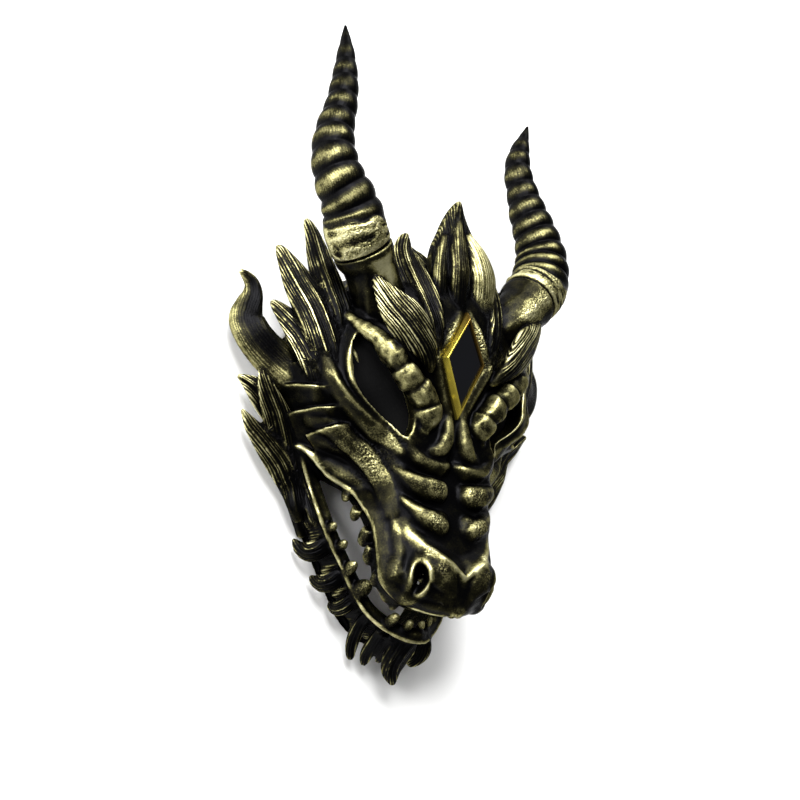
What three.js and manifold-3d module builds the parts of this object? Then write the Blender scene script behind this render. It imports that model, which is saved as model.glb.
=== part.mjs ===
// Wearable dragon mask in moulded foam, lying on its back with the face up.
// Millimetres. x runs across the face, y from the chin to the horns, z out of the face.
// The face is laid out round the bridge of the nose, at height zero on the rim plane, and the
// whole group is moved along y at the end, so that the origin is under the middle of its box.
import * as THREE from 'three';
import { mergeVertices } from 'three/addons/utils/BufferGeometryUtils.js';
import Module from 'manifold-3d';

const wasm = await Module();
wasm.setup();

// Driving dimensions
const headHalfWidth = 80;
const widestY = 30;
const crownY = 110;
const crownTrim = 2;
const chinY = -120;
const rimBand = 8;
const browHeight = 77;
const bridgeHeight = 70;
const wall = 6;
const lipWall = 13;
const muzzleTipY = -96;
const faceBlend = [-22, 2];
const throatY = [-16, -52, -78, muzzleTipY - 4];
const gap = 0.3;
const bridgeFromMiddle = 49.9;
const sideways = { right: 1, left: -1 };

// Lower face stations: y, height on the midline, half width at the upper lip, height of the lip
const muzzle = [
  [10, 69, 84, 18], [-10, 68.5, 72, 32], [-23, 71, 61.5, 34.5], [-31, 72, 49.5, 42.5], [-52, 76.5, 40, 52],
  [-78, 81, 38.5, 57], [-87, 80, 30, 57], [-93, 79, 16, 62], [muzzleTipY, 77, 6, 70],
];
const profile = { midline: 1, lipHalf: 2, lipHeight: 3 };
const muzzlePower = 2.8;
const domePower = 2.5;

// The cheeks are drawn in and down between these heights: by how much, and the way on the left side
const cheeks = {
  by: 12, x: [30, 50], below: [-44, -28], above: [-5, 30], z: [6, 28], way: [-0.608, 0.228, -0.761],
};

// Lower lip from the corner of the mouth to the middle of the chin: x, y, z
const jawLip = [
  [78, 14, 18], [74, -4, 22], [68.5, -21, 22], [57, -46, 24], [45.5, -65.5, 24.5], [33.5, -84.5, 26],
  [21, -100.6, 32], [6.5, -108.6, 39.5],
];
const jawLipMiddle = [0, -109.3, 41];
const jawWall = 8;
const lipRound = 2.5;

// Forehead stone: half width, half length, middle, and its slope from the brow to the crown
const stone = {
  halfWidth: 15.5, halfLength: 31, widestAt: 2.2, y: 44, z: 75.2, slope: 0.1,
  frame: 3, seat: 3.2, proud: 2.4, sunk: 1,
};

// Horns: foot of the collar, then the centre line from the seam to the tip, each with its radius.
// The pair is trimmed and glued by hand, so the left one leans back more.
const horns = {
  right: {
    collar: [-38, 66, 50],
    line: [
      [-65, 101, 62, 17], [-71, 108, 64, 17.5], [-75, 118, 65, 17], [-79, 125, 66, 15.6], [-86, 136, 66, 14],
      [-90, 150, 65, 12.4], [-88, 166, 63, 10.6], [-84, 181, 62, 9], [-81, 197, 60, 7.6], [-79, 217, 57, 4.6],
      [-78, 233, 54, 0.8],
    ],
  },
  left: {
    collar: [34, 66, 54],
    line: [
      [60, 97, 62, 17], [70, 108, 60, 17.5], [76, 127, 56, 15.6], [74, 143, 53, 13.4], [70, 157, 50, 11.6],
      [67, 172, 47, 9.4], [65, 185, 45, 8.2], [68, 198, 43, 6.4], [76, 218, 41, 0.8],
    ],
  },
};
const collarWaist = [0.95, 0.86, 0.88, 0.94];
const collarStraight = 12;
const ribCount = 9;
const ribDepth = 0.09;

// Locks of the mane on the right side, root to tip, each followed by its half width and thickness.
// The left side mirrors them.
const mane = {
  templeLock: {
    line: [[-66, 68, 44], [-71, 82, 42], [-73, 99, 34], [-78, 123, 26]],
    half: [8, 7, 6, 1.2], thick: 5,
  },
  upperLock: {
    line: [[-68, 42, 46], [-78, 61, 42], [-85, 82, 32], [-96, 103, 26]],
    half: [9, 10, 8, 1.4], thick: 6,
  },
  middleLock: {
    line: [[-70, 26, 44], [-79, 48, 35], [-86, 61, 28], [-97, 71, 23]],
    half: [8, 8, 6.5, 1.4], thick: 5,
  },
  hookLock: {
    line: [
      [-74, 27, 21], [-86.5, 37, 20], [-98, 46.5, 17.5], [-107, 62, 13.5], [-103, 76, 12.5], [-104, 83, 12],
      [-112, 89, 12],
    ],
    half: [9, 11.5, 11, 9.6, 6, 4.4, 1], thick: 10,
  },
  lowerFork: { line: [[-76, 0, 13], [-93, 19, 14], [-108, 29, 11]], half: [6, 7, 1], thick: 5 },
  crestLock: {
    line: [[-21, 54, 75], [-27, 77, 71], [-31, 97, 62], [-24, 122, 50]],
    half: [5, 9, 9, 1.2], thick: 6,
  },
  petal: {
    line: [[-22, 38, 74], [-34, 50.5, 78], [-48, 66, 75.5], [-61, 84.5, 70]],
    half: [3, 9.5, 10.5, 1.4], thick: 6,
  },
};

// Locks that grow from the side of the jaw; those on the left reach out less
const leftReach = 0.8;
const jawLocks = {
  jawLock: {
    line: [[-57, -44, 8], [-73.6, -23.6, 12.5], [-87.9, -9.2, 15], [-104, 11, 10]],
    half: [5, 7.5, 7.5, 1.2], thick: 6,
  },
  upperFork: {
    line: [[-70, -26, 14], [-83, -2, 18.5], [-92, 17.5, 19.5], [-98.6, 34, 18]],
    half: [6, 8.5, 6.5, 1], thick: 5,
  },
};

// Ridges of the face on the right side: centre line and the radius at each point
const ridges = {
  brow: {
    line: [
      [-66, 69, 44], [-60, 58.5, 56.5], [-51.5, 50.5, 64.5], [-42, 39, 69.5], [-30.5, 27.5, 71],
      [-21, 10, 69],
    ],
    half: [2, 4, 5.6, 7.2, 7.2, 5],
  },
  lowerLid: { line: [[-64, 48, 51], [-62, 27, 54], [-50, 10, 60], [-33, -1, 66]], half: [2, 2.4, 2.6, 1.8] },
  cheekFold: { line: [[-69, 41, 42], [-64, 21, 49], [-55, 6, 55], [-38, -6, 63]], half: [2, 3.4, 4.2, 3] },
  cheekBone: {
    line: [[-70, 2, 36], [-57, -10, 50], [-42, -24, 58], [-35, -44, 60], [-37, -70, 63]],
    half: [3, 5.5, 5, 3, 1.6],
  },
  upperWrinkle: { line: [[-35, -22, 64], [-26, -25, 68], [-11, -28, 71]], half: [1.5, 4, 5] },
  lowerWrinkle: { line: [[-33, -35, 62], [-21, -43, 70], [-9, -48, 74]], half: [1.5, 3.4, 4.5] },
  noseFold: { line: [[-32, -51, 67], [-22, -62, 76], [-3, -75.5, 82]], half: [1.8, 2.6, 2.4] },
};
const nostril = { x: -24.6, y: -79, halfLength: 8.4, halfWidth: 4, depth: 9, above: 4, turn: 0.1 };

// Crest above the stone: centre line and radius
const crest = {
  line: [[0, 78, 62], [0, 96, 61], [0, 112, 60], [0, 128, 61], [1, 143, 64]],
  half: [21, 19.5, 15.5, 8.5, 0.8],
  flute: 0.86,
};

// Eye opening: inner corner, outer corner, and the bulge of the lower and upper edge
const eye = { inner: [-30, 5], outer: [-58, 49], lowerBulge: 12, upperBulge: 3, steps: 8 };
const screen = { margin: 5, drop: 3.3, thickness: 1 };
const cutDepth = 90;

// Teeth: position at the root, radius and length; upper ones point back, lower ones forward
const upperTeeth = [
  [-50.4, -30, 38.6], [-46, -40.5, 42.7], [-40.9, -52, 46.9], [-38.6, -62, 48.7], [-36.4, -76, 51.7],
  [-22.4, -89.9, 51],
];
const lowerTeeth = [
  [-50.5, -51, 21], [-43.5, -61, 22], [-38, -74, 23], [-30, -84.5, 24], [-14.5, -101, 33], [-5.5, -103.5, 37],
];
const toothSize = { radius: 3.2, length: 9, root: 2, lean: 0.1 };

// Tufts of the beard along the jaw: root, belly and tip
const beard = [
  [[-50, -57, 20], [-56.5, -62, 13], [-62, -56, 6]], [[-40, -73.5, 20], [-46.5, -79, 13], [-50.5, -75, 7]],
  [[-30, -85.5, 20], [-35.5, -92, 13], [-36.5, -88, 7.5]],
  [[-23, -96, 24], [-22.6, -107, 14], [-19.6, -119, 7]],
  [[-15, -104, 28], [-13.4, -115, 15], [-11.7, -122, 9]],
];
const beardTip = [[-2, -107, 34], [-1, -119, 25], [4, -133, 17]];
const tuftHalf = 5;

function stationValue(column, y) {
  // smooth curve through the muzzle stations, without overshoot
  const rows = muzzle;
  let i = 0;
  while (i < rows.length - 2 && y < rows[i + 1][0]) i += 1;
  const slope = (k) => {
    if (k <= 0 || k >= rows.length - 1) return 0;
    const before = (rows[k][column] - rows[k - 1][column]) / (rows[k][0] - rows[k - 1][0]);
    const after = (rows[k + 1][column] - rows[k][column]) / (rows[k + 1][0] - rows[k][0]);
    return before * after > 0 ? (2 * before * after) / (before + after) : 0;
  };
  const span = rows[i + 1][0] - rows[i][0];
  const t = THREE.MathUtils.clamp((y - rows[i][0]) / span, 0, 1);
  const start = (2 * t ** 3 - 3 * t ** 2 + 1) * rows[i][column] + (t ** 3 - 2 * t ** 2 + t) * span * slope(i);
  return start + (3 * t ** 2 - 2 * t ** 3) * rows[i + 1][column] + (t ** 3 - t ** 2) * span * slope(i + 1);
}

function headHalf(y) {
  // half width of the rim: a round crown above the temples and a long taper to the chin
  if (y > widestY) {
    const u = (y - widestY) / (crownY - widestY);
    return headHalfWidth * Math.sqrt(Math.max(0, 1 - u ** 2));
  }
  const t = Math.min(1, (widestY - y) / (widestY - chinY));
  return headHalfWidth * (1 - t ** 1.75) ** 0.6;
}

function domeHeight(x, y) {
  const u = THREE.MathUtils.clamp((y - widestY) / (crownY - widestY), 0, 1);
  const top = bridgeHeight + (browHeight - bridgeHeight) * THREE.MathUtils.smoothstep(y, 5, 60);
  const middle = rimBand + (top - rimBand) * Math.sqrt(1 - u ** 6);
  const s = Math.min(1, Math.abs(x) / Math.max(headHalf(y), 1));
  return rimBand + (middle - rimBand) * (1 - s ** domePower) ** (1 / domePower);
}

function faceHalf(y) {
  const blend = THREE.MathUtils.smoothstep(y, ...faceBlend);
  return THREE.MathUtils.lerp(stationValue(profile.lipHalf, y), headHalf(y), blend);
}

function faceHeight(x, y) {
  const middle = stationValue(profile.midline, y);
  const drop = middle - stationValue(profile.lipHeight, y);
  const low = middle - drop * (Math.abs(x) / stationValue(profile.lipHalf, y)) ** muzzlePower;
  return THREE.MathUtils.lerp(low, domeHeight(x, y), THREE.MathUtils.smoothstep(y, ...faceBlend));
}

function drawnIn(x, y, z) {
  const { smoothstep } = THREE.MathUtils;
  const across = smoothstep(Math.abs(x), ...cheeks.x) * smoothstep(z, ...cheeks.z);
  const along = smoothstep(y, ...cheeks.below) * (1 - smoothstep(y, ...cheeks.above));
  const moved = cheeks.by * across * along;
  const [inward, up, down] = cheeks.way;
  return [x + Math.sign(x) * inward * moved, y + up * moved, z + down * moved];
}

function toSolid(geometry) {
  const points = geometry.attributes.position;
  for (let i = 0; i < points.count; i += 1) {
    points.setXYZ(i, ...drawnIn(points.getX(i), points.getY(i), points.getZ(i)));
  }
  geometry.deleteAttribute('normal');
  geometry.deleteAttribute('uv');
  const merged = mergeVertices(geometry, 1e-4);
  const solid = new wasm.Manifold(new wasm.Mesh({
    numProp: 3,
    vertProperties: Float32Array.from(merged.attributes.position.array),
    triVerts: Uint32Array.from(merged.index.array),
  }));
  if (solid.volume() <= 0) throw new Error('a solid is inside out');
  return solid;
}

function toMesh(solid, name, material) {
  const data = solid.getMesh();
  const geometry = new THREE.BufferGeometry();
  geometry.setAttribute('position', new THREE.BufferAttribute(data.vertProperties, 3));
  geometry.setIndex(new THREE.BufferAttribute(data.triVerts, 1));
  geometry.computeVertexNormals();
  const mesh = new THREE.Mesh(geometry, material);
  mesh.name = name;
  return mesh;
}

function block(nx, ny, nz, place) {
  // a box whose points are moved by place(across, along, up): -1 to 1, -1 to 1 and 0 to 1
  const geometry = new THREE.BoxGeometry(2, 2, 1, nx, ny, nz);
  const points = geometry.attributes.position;
  for (let i = 0; i < points.count; i += 1) {
    points.setXYZ(i, ...place(points.getX(i), points.getY(i), points.getZ(i) + 0.5));
  }
  return toSolid(geometry);
}

function smoothLine(line) {
  const points = line.map(([x, y, z]) => new THREE.Vector3(x, y, z));
  return new THREE.CatmullRomCurve3(points, false, 'centripetal');
}

function alongList(values, t) {
  const at = t * (values.length - 1);
  const i = Math.min(values.length - 2, Math.floor(at));
  return THREE.MathUtils.lerp(values[i], values[i + 1], at - i);
}

function sweep(line, half, thick, sides = 6, rings = 6, rib = () => 1, flute = 1) {
  // a tapering tube round a smooth line: half is its half width, thick its whole thickness or null,
  // and flute draws in every second of its edges
  const curve = smoothLine(line);
  const geometry = new THREE.CylinderGeometry(1, 1, 2, sides, rings);
  const points = geometry.attributes.position;
  const outward = new THREE.Vector3(0, 0, 1);
  for (let i = 0; i < points.count; i += 1) {
    const t = (points.getY(i) + 1) / 2;
    const centre = curve.getPoint(t);
    const tangent = curve.getTangent(t);
    const side = tangent.clone().cross(outward).normalize();
    const normal = side.clone().cross(tangent).normalize();
    const edge = Math.round((Math.atan2(points.getX(i), points.getZ(i)) / (2 * Math.PI)) * sides);
    const a = alongList(half, t) * rib(t) * (edge % 2 === 0 ? 1 : flute);
    const b = thick === null ? a : Math.min(a, thick / 2) * (0.55 + 0.45 * (1 - t));
    centre.addScaledVector(side, points.getX(i) * a).addScaledVector(normal, points.getZ(i) * b);
    points.setXYZ(i, centre.x, centre.y, centre.z);
  }
  return toSolid(geometry);
}

function mirrored(line, reach = 1) {
  const root = line[0][0];
  return line.map(([x, ...rest]) => [-(root + (x - root) * reach), ...rest]);
}

function bothSides(make, line, reach) {
  return [make(line), make(mirrored(line, reach))];
}

function join(solids) {
  return solids.reduce((sum, next) => sum.add(next));
}

function skullOuter() {
  const top = crownY - crownTrim;
  const middle = (top + muzzleTipY) / 2;
  return block(16, 24, 1, (across, along, up) => {
    const y = middle + (top - middle) * Math.sin((along * Math.PI) / 2);
    const x = faceHalf(y) * Math.sin((across * Math.PI) / 2);
    return [x, y, up * faceHeight(x, y)];
  });
}

function skullInner() {
  const top = crownY - crownTrim - wall;
  const bottom = muzzleTipY + wall + crownTrim;
  const middle = (top + bottom) / 2;
  return block(12, 15, 1, (across, along, up) => {
    const y = middle + (top - middle) * Math.sin((along * Math.PI) / 2);
    const half = faceHalf(y) - wall;
    const x = half * Math.sin((across * Math.PI) / 2);
    const roof = faceHeight((x * faceHalf(y)) / half, y) - wall;
    return [x, y, up > 0.5 ? roof : -wall];
  });
}

function throatCutter() {
  // clears the walls under the muzzle, so that the mouth is open between the lips
  const depth = 2.5 * headHalfWidth;
  const side = new THREE.Shape();
  side.moveTo(throatY[0], -wall);
  for (const y of throatY) side.lineTo(y, stationValue(profile.lipHeight, y) - lipWall);
  side.lineTo(throatY[throatY.length - 1], -wall);
  side.closePath();
  const geometry = new THREE.ExtrudeGeometry(side, { depth, bevelEnabled: false });
  geometry.applyMatrix4(new THREE.Matrix4().makeBasis(
    new THREE.Vector3(0, 1, 0), new THREE.Vector3(0, 0, 1), new THREE.Vector3(1, 0, 0)));
  geometry.translate(-depth / 2, 0, 0);
  return toSolid(geometry);
}

function jawBand() {
  const lip = [...jawLip, jawLipMiddle, ...mirrored(jawLip).reverse()];
  const curve = smoothLine(lip);
  return block(26, 2, 1, (around, across, up) => {
    const t = (1 - around) / 2;
    const edge = curve.getPoint(t);
    const tangent = curve.getTangent(t);
    const inward = new THREE.Vector2(tangent.y, -tangent.x).normalize();
    const inset = ((across + 1) / 2) * jawWall;
    const round = up * lipRound * (1 - Math.abs(across));
    return [edge.x + inward.x * inset, edge.y + inward.y * inset, up * edge.z + round];
  });
}

function eyeOutline(side) {
  const inner = new THREE.Vector2(side * eye.inner[0], eye.inner[1]);
  const outer = new THREE.Vector2(side * eye.outer[0], eye.outer[1]);
  const axis = outer.clone().sub(inner);
  const out = new THREE.Vector2(-axis.y, axis.x).normalize().multiplyScalar(side);
  const points = [];
  const edge = (from, to, bulge) => {
    for (let i = 0; i < eye.steps; i += 1) {
      const t = i / eye.steps;
      points.push(from.clone().lerp(to, t).addScaledVector(out, bulge * Math.sin(Math.PI * t)));
    }
  };
  edge(inner, outer, eye.lowerBulge);
  edge(outer, inner, -eye.upperBulge);
  return points;
}

function eyeCutter(side) {
  const outline = new THREE.Shape(eyeOutline(side));
  return toSolid(new THREE.ExtrudeGeometry(outline, { depth: cutDepth, steps: 4, bevelEnabled: false }));
}

function eyeScreen(side) {
  // thin see-through cloth that lies against the inside of the wall, behind the opening
  const corners = new THREE.Box2().setFromPoints(eyeOutline(side)).expandByScalar(screen.margin);
  const size = corners.getSize(new THREE.Vector2());
  const middle = corners.getCenter(new THREE.Vector2());
  return block(4, 5, 1, (across, along, up) => {
    const x = middle.x + (across * size.x) / 2;
    const y = middle.y + (along * size.y) / 2;
    const scale = faceHalf(y) / (faceHalf(y) - wall);
    return [x, y, faceHeight(x * scale, y) - wall - screen.drop - (1 - up) * screen.thickness];
  });
}

function stoneShape(inset) {
  const scale = 1 - inset / stone.halfWidth;
  const shape = new THREE.Shape();
  shape.moveTo(0, -stone.halfLength * scale);
  shape.lineTo(stone.halfWidth * scale, stone.widestAt);
  shape.lineTo(0, stone.halfLength * scale);
  shape.lineTo(-stone.halfWidth * scale, stone.widestAt);
  shape.closePath();
  return shape;
}

function stonePiece(inset, bottom, top) {
  const geometry = new THREE.ExtrudeGeometry(stoneShape(inset), { depth: top - bottom, bevelEnabled: false });
  geometry.translate(0, 0, bottom);
  geometry.rotateX(stone.slope);
  geometry.translate(0, stone.y, stone.z);
  return toSolid(geometry);
}

function stoneFrame() {
  const opening = stonePiece(stone.frame, -stone.seat - 1, stone.proud + 1);
  return stonePiece(0, -stone.seat, stone.proud).subtract(opening);
}

function stoneInset() {
  return stonePiece(stone.frame + gap, -stone.seat, stone.proud - stone.sunk);
}

function hornCollar({ collar, line }) {
  // the last stretch runs straight into the horn, so that the seam closes all round
  const [seam, next] = line.map(([x, y, z]) => new THREE.Vector3(x, y, z));
  const back = seam.clone().addScaledVector(next.clone().sub(seam).normalize(), -collarStraight);
  const girth = collarWaist.map((share) => share * line[0][3]);
  return sweep([collar, back.toArray(), seam.toArray()], girth, null, 12, 4);
}

function horn({ line }, clearance = 0) {
  // the seam end is flat; with a clearance the same form cuts the seat that the collar leaves for it
  const [first, second] = line.map((point) => new THREE.Vector3(...point));
  const start = first.clone().addScaledVector(second.clone().sub(first).normalize(), -clearance);
  const path = [start.toArray(), ...line.slice(1)];
  const swell = line.map((point) => point[3] + clearance);
  const ribs = (t) => (t > 0.1 && t < 0.92 ? 1 + ribDepth * Math.abs(Math.sin(Math.PI * ribCount * t)) : 1);
  return sweep(path, swell, null, 10, 2 * ribCount, ribs);
}

function ridgeSolids() {
  const solids = [];
  for (const { line, half } of Object.values(ridges)) {
    const rings = Math.max(4, 2 * line.length - 3);
    solids.push(...bothSides((path) => sweep(path, half, null, 5, rings), line));
  }
  return solids;
}

function lockSolids(locks, reach) {
  const solids = [];
  for (const { line, half, thick } of Object.values(locks)) {
    const rings = Math.max(4, 2 * line.length - 3);
    solids.push(...bothSides((path) => sweep(path, half, thick, 6, rings), line, reach));
  }
  return solids;
}

function beardSolids() {
  const tuft = (path) => sweep(path, [tuftHalf, 1], tuftHalf, 5, 3);
  const middleTuft = sweep(beardTip, [2 * tuftHalf, 1], 2 * tuftHalf, 6, 4);
  return [middleTuft, ...beard.flatMap((path) => bothSides(tuft, path))];
}

function toothSolids() {
  const { radius, length, root, lean } = toothSize;
  const tooth = (rise) => ([[x, y, z]]) => {
    const line = [[x, y, z - rise * root], [x, y + lean, z + rise * length]];
    return sweep(line, [radius, 1], null, 5, 1);
  };
  return [
    ...upperTeeth.flatMap((place) => bothSides(tooth(-1), [place])),
    ...lowerTeeth.flatMap((place) => bothSides(tooth(1), [place])),
  ];
}

function nostrilCutter(side) {
  const geometry = new THREE.SphereGeometry(1, 8, 6);
  geometry.scale(nostril.halfWidth, nostril.halfLength, nostril.depth);
  geometry.rotateZ(-side * nostril.turn);
  geometry.translate(side * nostril.x, nostril.y, faceHeight(nostril.x, nostril.y) + nostril.above);
  return toSolid(geometry);
}

function maskShell() {
  const crestSolid = sweep(crest.line, crest.half, null, 14, 7, () => 1, crest.flute);
  const carving = [...ridgeSolids(), ...lockSolids(mane), crestSolid];
  const collars = [hornCollar(horns.right), hornCollar(horns.left)];
  const face = join([skullOuter(), ...carving, ...collars]).subtract(skullInner()).subtract(throatCutter());
  let shell = join([face, jawBand(), ...lockSolids(jawLocks, leftReach), ...beardSolids(), ...toothSolids()]);
  for (const side of Object.values(sideways)) {
    shell = shell.subtract(eyeCutter(side));
    shell = shell.subtract(nostrilCutter(side));
  }
  for (const spec of Object.values(horns)) shell = shell.subtract(horn(spec, gap));
  return shell.subtract(stonePiece(-gap, -stone.seat - gap, cutDepth));
}

const foam = new THREE.MeshStandardMaterial({ color: 0x1c1b16, roughness: 0.42, metalness: 0.3 });
const hornFoam = new THREE.MeshStandardMaterial({ color: 0x24221a, roughness: 0.4, metalness: 0.3 });
const goldTrim = new THREE.MeshStandardMaterial({ color: 0xc9b04a, roughness: 0.28, metalness: 0.9 });
const blackGloss = new THREE.MeshStandardMaterial({ color: 0x0b0c10, roughness: 0.08, metalness: 0.0 });
const screenCloth = new THREE.MeshStandardMaterial({ color: 0x060606, roughness: 0.9, metalness: 0.0 });

const mask = new THREE.Group();
mask.add(toMesh(maskShell(), 'mask_shell', foam));
mask.add(toMesh(horn(horns.right), 'horn_right', hornFoam));
mask.add(toMesh(horn(horns.left), 'horn_left', hornFoam));
mask.add(toMesh(eyeScreen(sideways.right), 'eye_screen_right', screenCloth));
mask.add(toMesh(eyeScreen(sideways.left), 'eye_screen_left', screenCloth));
mask.add(toMesh(stoneFrame(), 'brow_stone_frame', goldTrim));
mask.add(toMesh(stoneInset(), 'brow_stone', blackGloss));
mask.position.set(0, -bridgeFromMiddle, 0);

export default mask;
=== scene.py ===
import bmesh
import bpy
import numpy as np
from mathutils import Matrix, Vector, kdtree


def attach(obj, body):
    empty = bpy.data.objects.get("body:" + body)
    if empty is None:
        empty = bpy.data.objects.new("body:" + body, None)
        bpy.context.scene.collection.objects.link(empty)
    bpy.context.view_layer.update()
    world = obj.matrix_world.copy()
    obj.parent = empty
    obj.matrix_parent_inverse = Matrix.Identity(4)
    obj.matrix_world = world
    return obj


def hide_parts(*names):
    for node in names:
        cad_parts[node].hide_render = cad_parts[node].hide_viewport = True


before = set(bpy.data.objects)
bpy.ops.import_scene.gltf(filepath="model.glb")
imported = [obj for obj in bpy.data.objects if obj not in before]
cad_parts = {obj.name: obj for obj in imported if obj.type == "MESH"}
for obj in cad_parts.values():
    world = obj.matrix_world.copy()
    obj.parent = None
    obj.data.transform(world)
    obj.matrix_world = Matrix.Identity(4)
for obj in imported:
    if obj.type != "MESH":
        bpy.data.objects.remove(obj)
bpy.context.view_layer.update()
print("frame loaded:", ", ".join(sorted(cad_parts)))

# Shapes are worked out in millimetres round the bridge of the nose: x across the face, y towards the horns
# and z up from the rim. The right side of the face has x below zero, and the left side mirrors it.
face = {
    "headHalf": 80, "widestY": 30, "crownY": 108, "crownRound": 110, "chinY": -120, "rimBand": 8,
    "browHeight": 77, "bridgeHeight": 70, "browRise": (5, 60), "wall": 6, "lipWall": 13, "lipLean": 3,
    "tipY": -96, "throatY": (-20, -12), "blend": (-22, 2), "bridgeFromMiddle": 49.9,
    "muzzlePower": 2.8, "domePower": 2.5, "crownPower": 6, "chinTaper": (1.75, 0.6), "deepest": -3.6,
    # the left cheek is pressed flatter beyond these x and below these y, by this share
    "flatCheek": ((56, 66), (4, 16), 0.75),
    # y, height on the midline, half width at the lip, height of the lip
    "muzzle": [(10, 69, 84, 18), (-10, 68.5, 72, 32), (-23, 71, 61.5, 34.5), (-31, 72, 49.5, 42.5),
               (-52, 76.5, 40, 52), (-78, 81, 38.5, 57), (-87, 80, 30, 57), (-93, 79, 16, 62),
               (-96, 77, 6, 70)],
    # grid cells across and along, and the share of the grid that lies before its side and end walls
    "across": 250, "along": 320, "sideShare": 0.92, "endShare": 0.96,
    "eye": [
        (-29, 3), (-33, -1), (-42, 4), (-50, 10), (-58, 19), (-62, 28), (-63, 37), (-64, 45), (-63, 52),
        (-58, 55), (-54, 53), (-49, 45), (-42, 35), (-36, 28), (-31, 20), (-28, 11),
    ],
}
toFrame = Matrix.Scale(0.001, 4) @ Matrix.Translation((0, -face["bridgeFromMiddle"], 0))


# Small tools

def smoothStep(x, low, high):
    t = np.clip((x - low) / (high - low), 0, 1)
    return t * t * (3 - 2 * t)


def readPoints(bm):
    return np.array([v.co[:] for v in bm.verts])


def writePoints(bm, points):
    for v, p in zip(bm.verts, points):
        v.co = p


def smoothPath(points, count):
    # centripetal curve through the points, at even steps; further columns are carried along
    p = np.array(points, float)
    p = np.vstack([2 * p[0] - p[1], p, 2 * p[-1] - p[-2]])
    fine = []
    for i in range(len(p) - 3):
        a, b, c, d = p[i:i + 4]
        gaps = [max(np.linalg.norm(q[:3] - o[:3]), 1e-6) ** 0.5 for o, q in ((a, b), (b, c), (c, d))]
        k0, k1, k2, k3 = np.cumsum([0] + gaps)
        t = np.linspace(k1, k2, 24, endpoint=False)[:, None]
        ab = (k1 - t) / (k1 - k0) * a + (t - k0) / (k1 - k0) * b
        bc = (k2 - t) / (k2 - k1) * b + (t - k1) / (k2 - k1) * c
        cd = (k3 - t) / (k3 - k2) * c + (t - k2) / (k3 - k2) * d
        abc = (k2 - t) / (k2 - k0) * ab + (t - k0) / (k2 - k0) * bc
        bcd = (k3 - t) / (k3 - k1) * bc + (t - k1) / (k3 - k1) * cd
        fine.append((k2 - t) / (k2 - k1) * abc + (t - k1) / (k2 - k1) * bcd)
    fine = np.vstack(fine + [p[-2:-1]])
    steps = np.concatenate([[0], np.cumsum(np.linalg.norm(np.diff(fine[:, :3], axis=0), axis=1))])
    even = np.linspace(0, steps[-1], count)
    return np.stack([np.interp(even, steps, fine[:, k]) for k in range(fine.shape[1])], 1)


def nearLine(points, line):
    # distance of each point from a line of samples, and how far along the line that is, from 0 to 1
    best = np.full(len(points), 1e9)
    where = np.zeros(len(points))
    for i in range(len(line) - 1):
        start, step = line[i, :3], line[i + 1, :3] - line[i, :3]
        t = np.clip((points - start) @ step / max(step @ step, 1e-9), 0, 1)
        gap = np.linalg.norm(points - start - t[:, None] * step, axis=1)
        closer = gap < best
        best[closer] = gap[closer]
        where[closer] = (i + t[closer]) / (len(line) - 1)
    return best, where


def lumps(points, size, seed=0):
    # smooth noise of about the given size, from -1 to 1
    p = np.asarray(points) / size + seed * 7.31
    cell = np.floor(p).astype(np.int64)
    f = p - cell
    f = f * f * (3 - 2 * f)
    total = np.zeros(len(p))
    for corner in np.ndindex(2, 2, 2):
        at = cell + corner
        h = (at[:, 0] * 374761393 + at[:, 1] * 668265263 + at[:, 2] * 2147483647) & 0xFFFFFFFF
        h = ((h ^ (h >> 13)) * 1274126177) & 0xFFFFFFFF
        value = ((h ^ (h >> 16)) & 0xFFFF) / 32767.5 - 1
        weight = np.prod(np.where(np.array(corner) == 1, f, 1 - f), axis=1)
        total += weight * value
    return total


def applied(piece):
    # replaces the piece's mesh by what its modifiers make of it
    graph = bpy.context.evaluated_depsgraph_get()
    result = bpy.data.meshes.new_from_object(piece.evaluated_get(graph))
    piece.modifiers.clear()
    piece.data = result
    return piece


def newPiece(name, bm=None, mesh=None):
    if bm is not None:
        mesh = bpy.data.meshes.new(name)
        bm.to_mesh(mesh)
        bm.free()
    piece = bpy.data.objects.new(name, mesh)
    bpy.context.scene.collection.objects.link(piece)
    return piece


def cutAway(piece, cutters):
    for cutter in cutters:
        cut = piece.modifiers.new("cut", "BOOLEAN")
        cut.operation = "DIFFERENCE"
        cut.solver = "MANIFOLD"
        cut.object = cutter
    applied(piece)
    for cutter in cutters:
        bpy.data.objects.remove(cutter)
    return piece


# The casting is built as closed parts that overlap. Each vertex carries where it lies across and along its
# lock in millimetres, how much the part is a lock, how gilded it is, with the collars' painted highlight laid
# in as gold, and how grainy it is.
layerNames = ("strandAcross", "strandAlong", "hair", "gilt", "grain")
castParts = []


def addPart(bm, **layers):
    bmesh.ops.recalc_face_normals(bm, faces=bm.faces)
    for name in layerNames:
        layer = bm.verts.layers.float.new(name)
        values = np.broadcast_to(layers.get(name, 0.0), len(bm.verts))
        for v, value in zip(bm.verts, values):
            v[layer] = value
    mesh = bpy.data.meshes.new("castPart")
    bm.to_mesh(mesh)
    bm.free()
    castParts.append(mesh)


def newTube(rings, sides):
    # a capped tube of unit radius, with the ring number and the angle of each vertex
    bm = bmesh.new()
    bmesh.ops.create_cone(bm, cap_ends=True, segments=sides, radius1=1, radius2=1, depth=2)
    upright = [e for e in bm.edges if abs(e.verts[0].co.z - e.verts[1].co.z) > 1]
    bmesh.ops.subdivide_edges(bm, edges=upright, cuts=rings - 2)
    p = readPoints(bm)
    return bm, np.rint((p[:, 2] + 1) / 2 * (rings - 1)).astype(int), np.arctan2(p[:, 1], p[:, 0])


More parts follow.
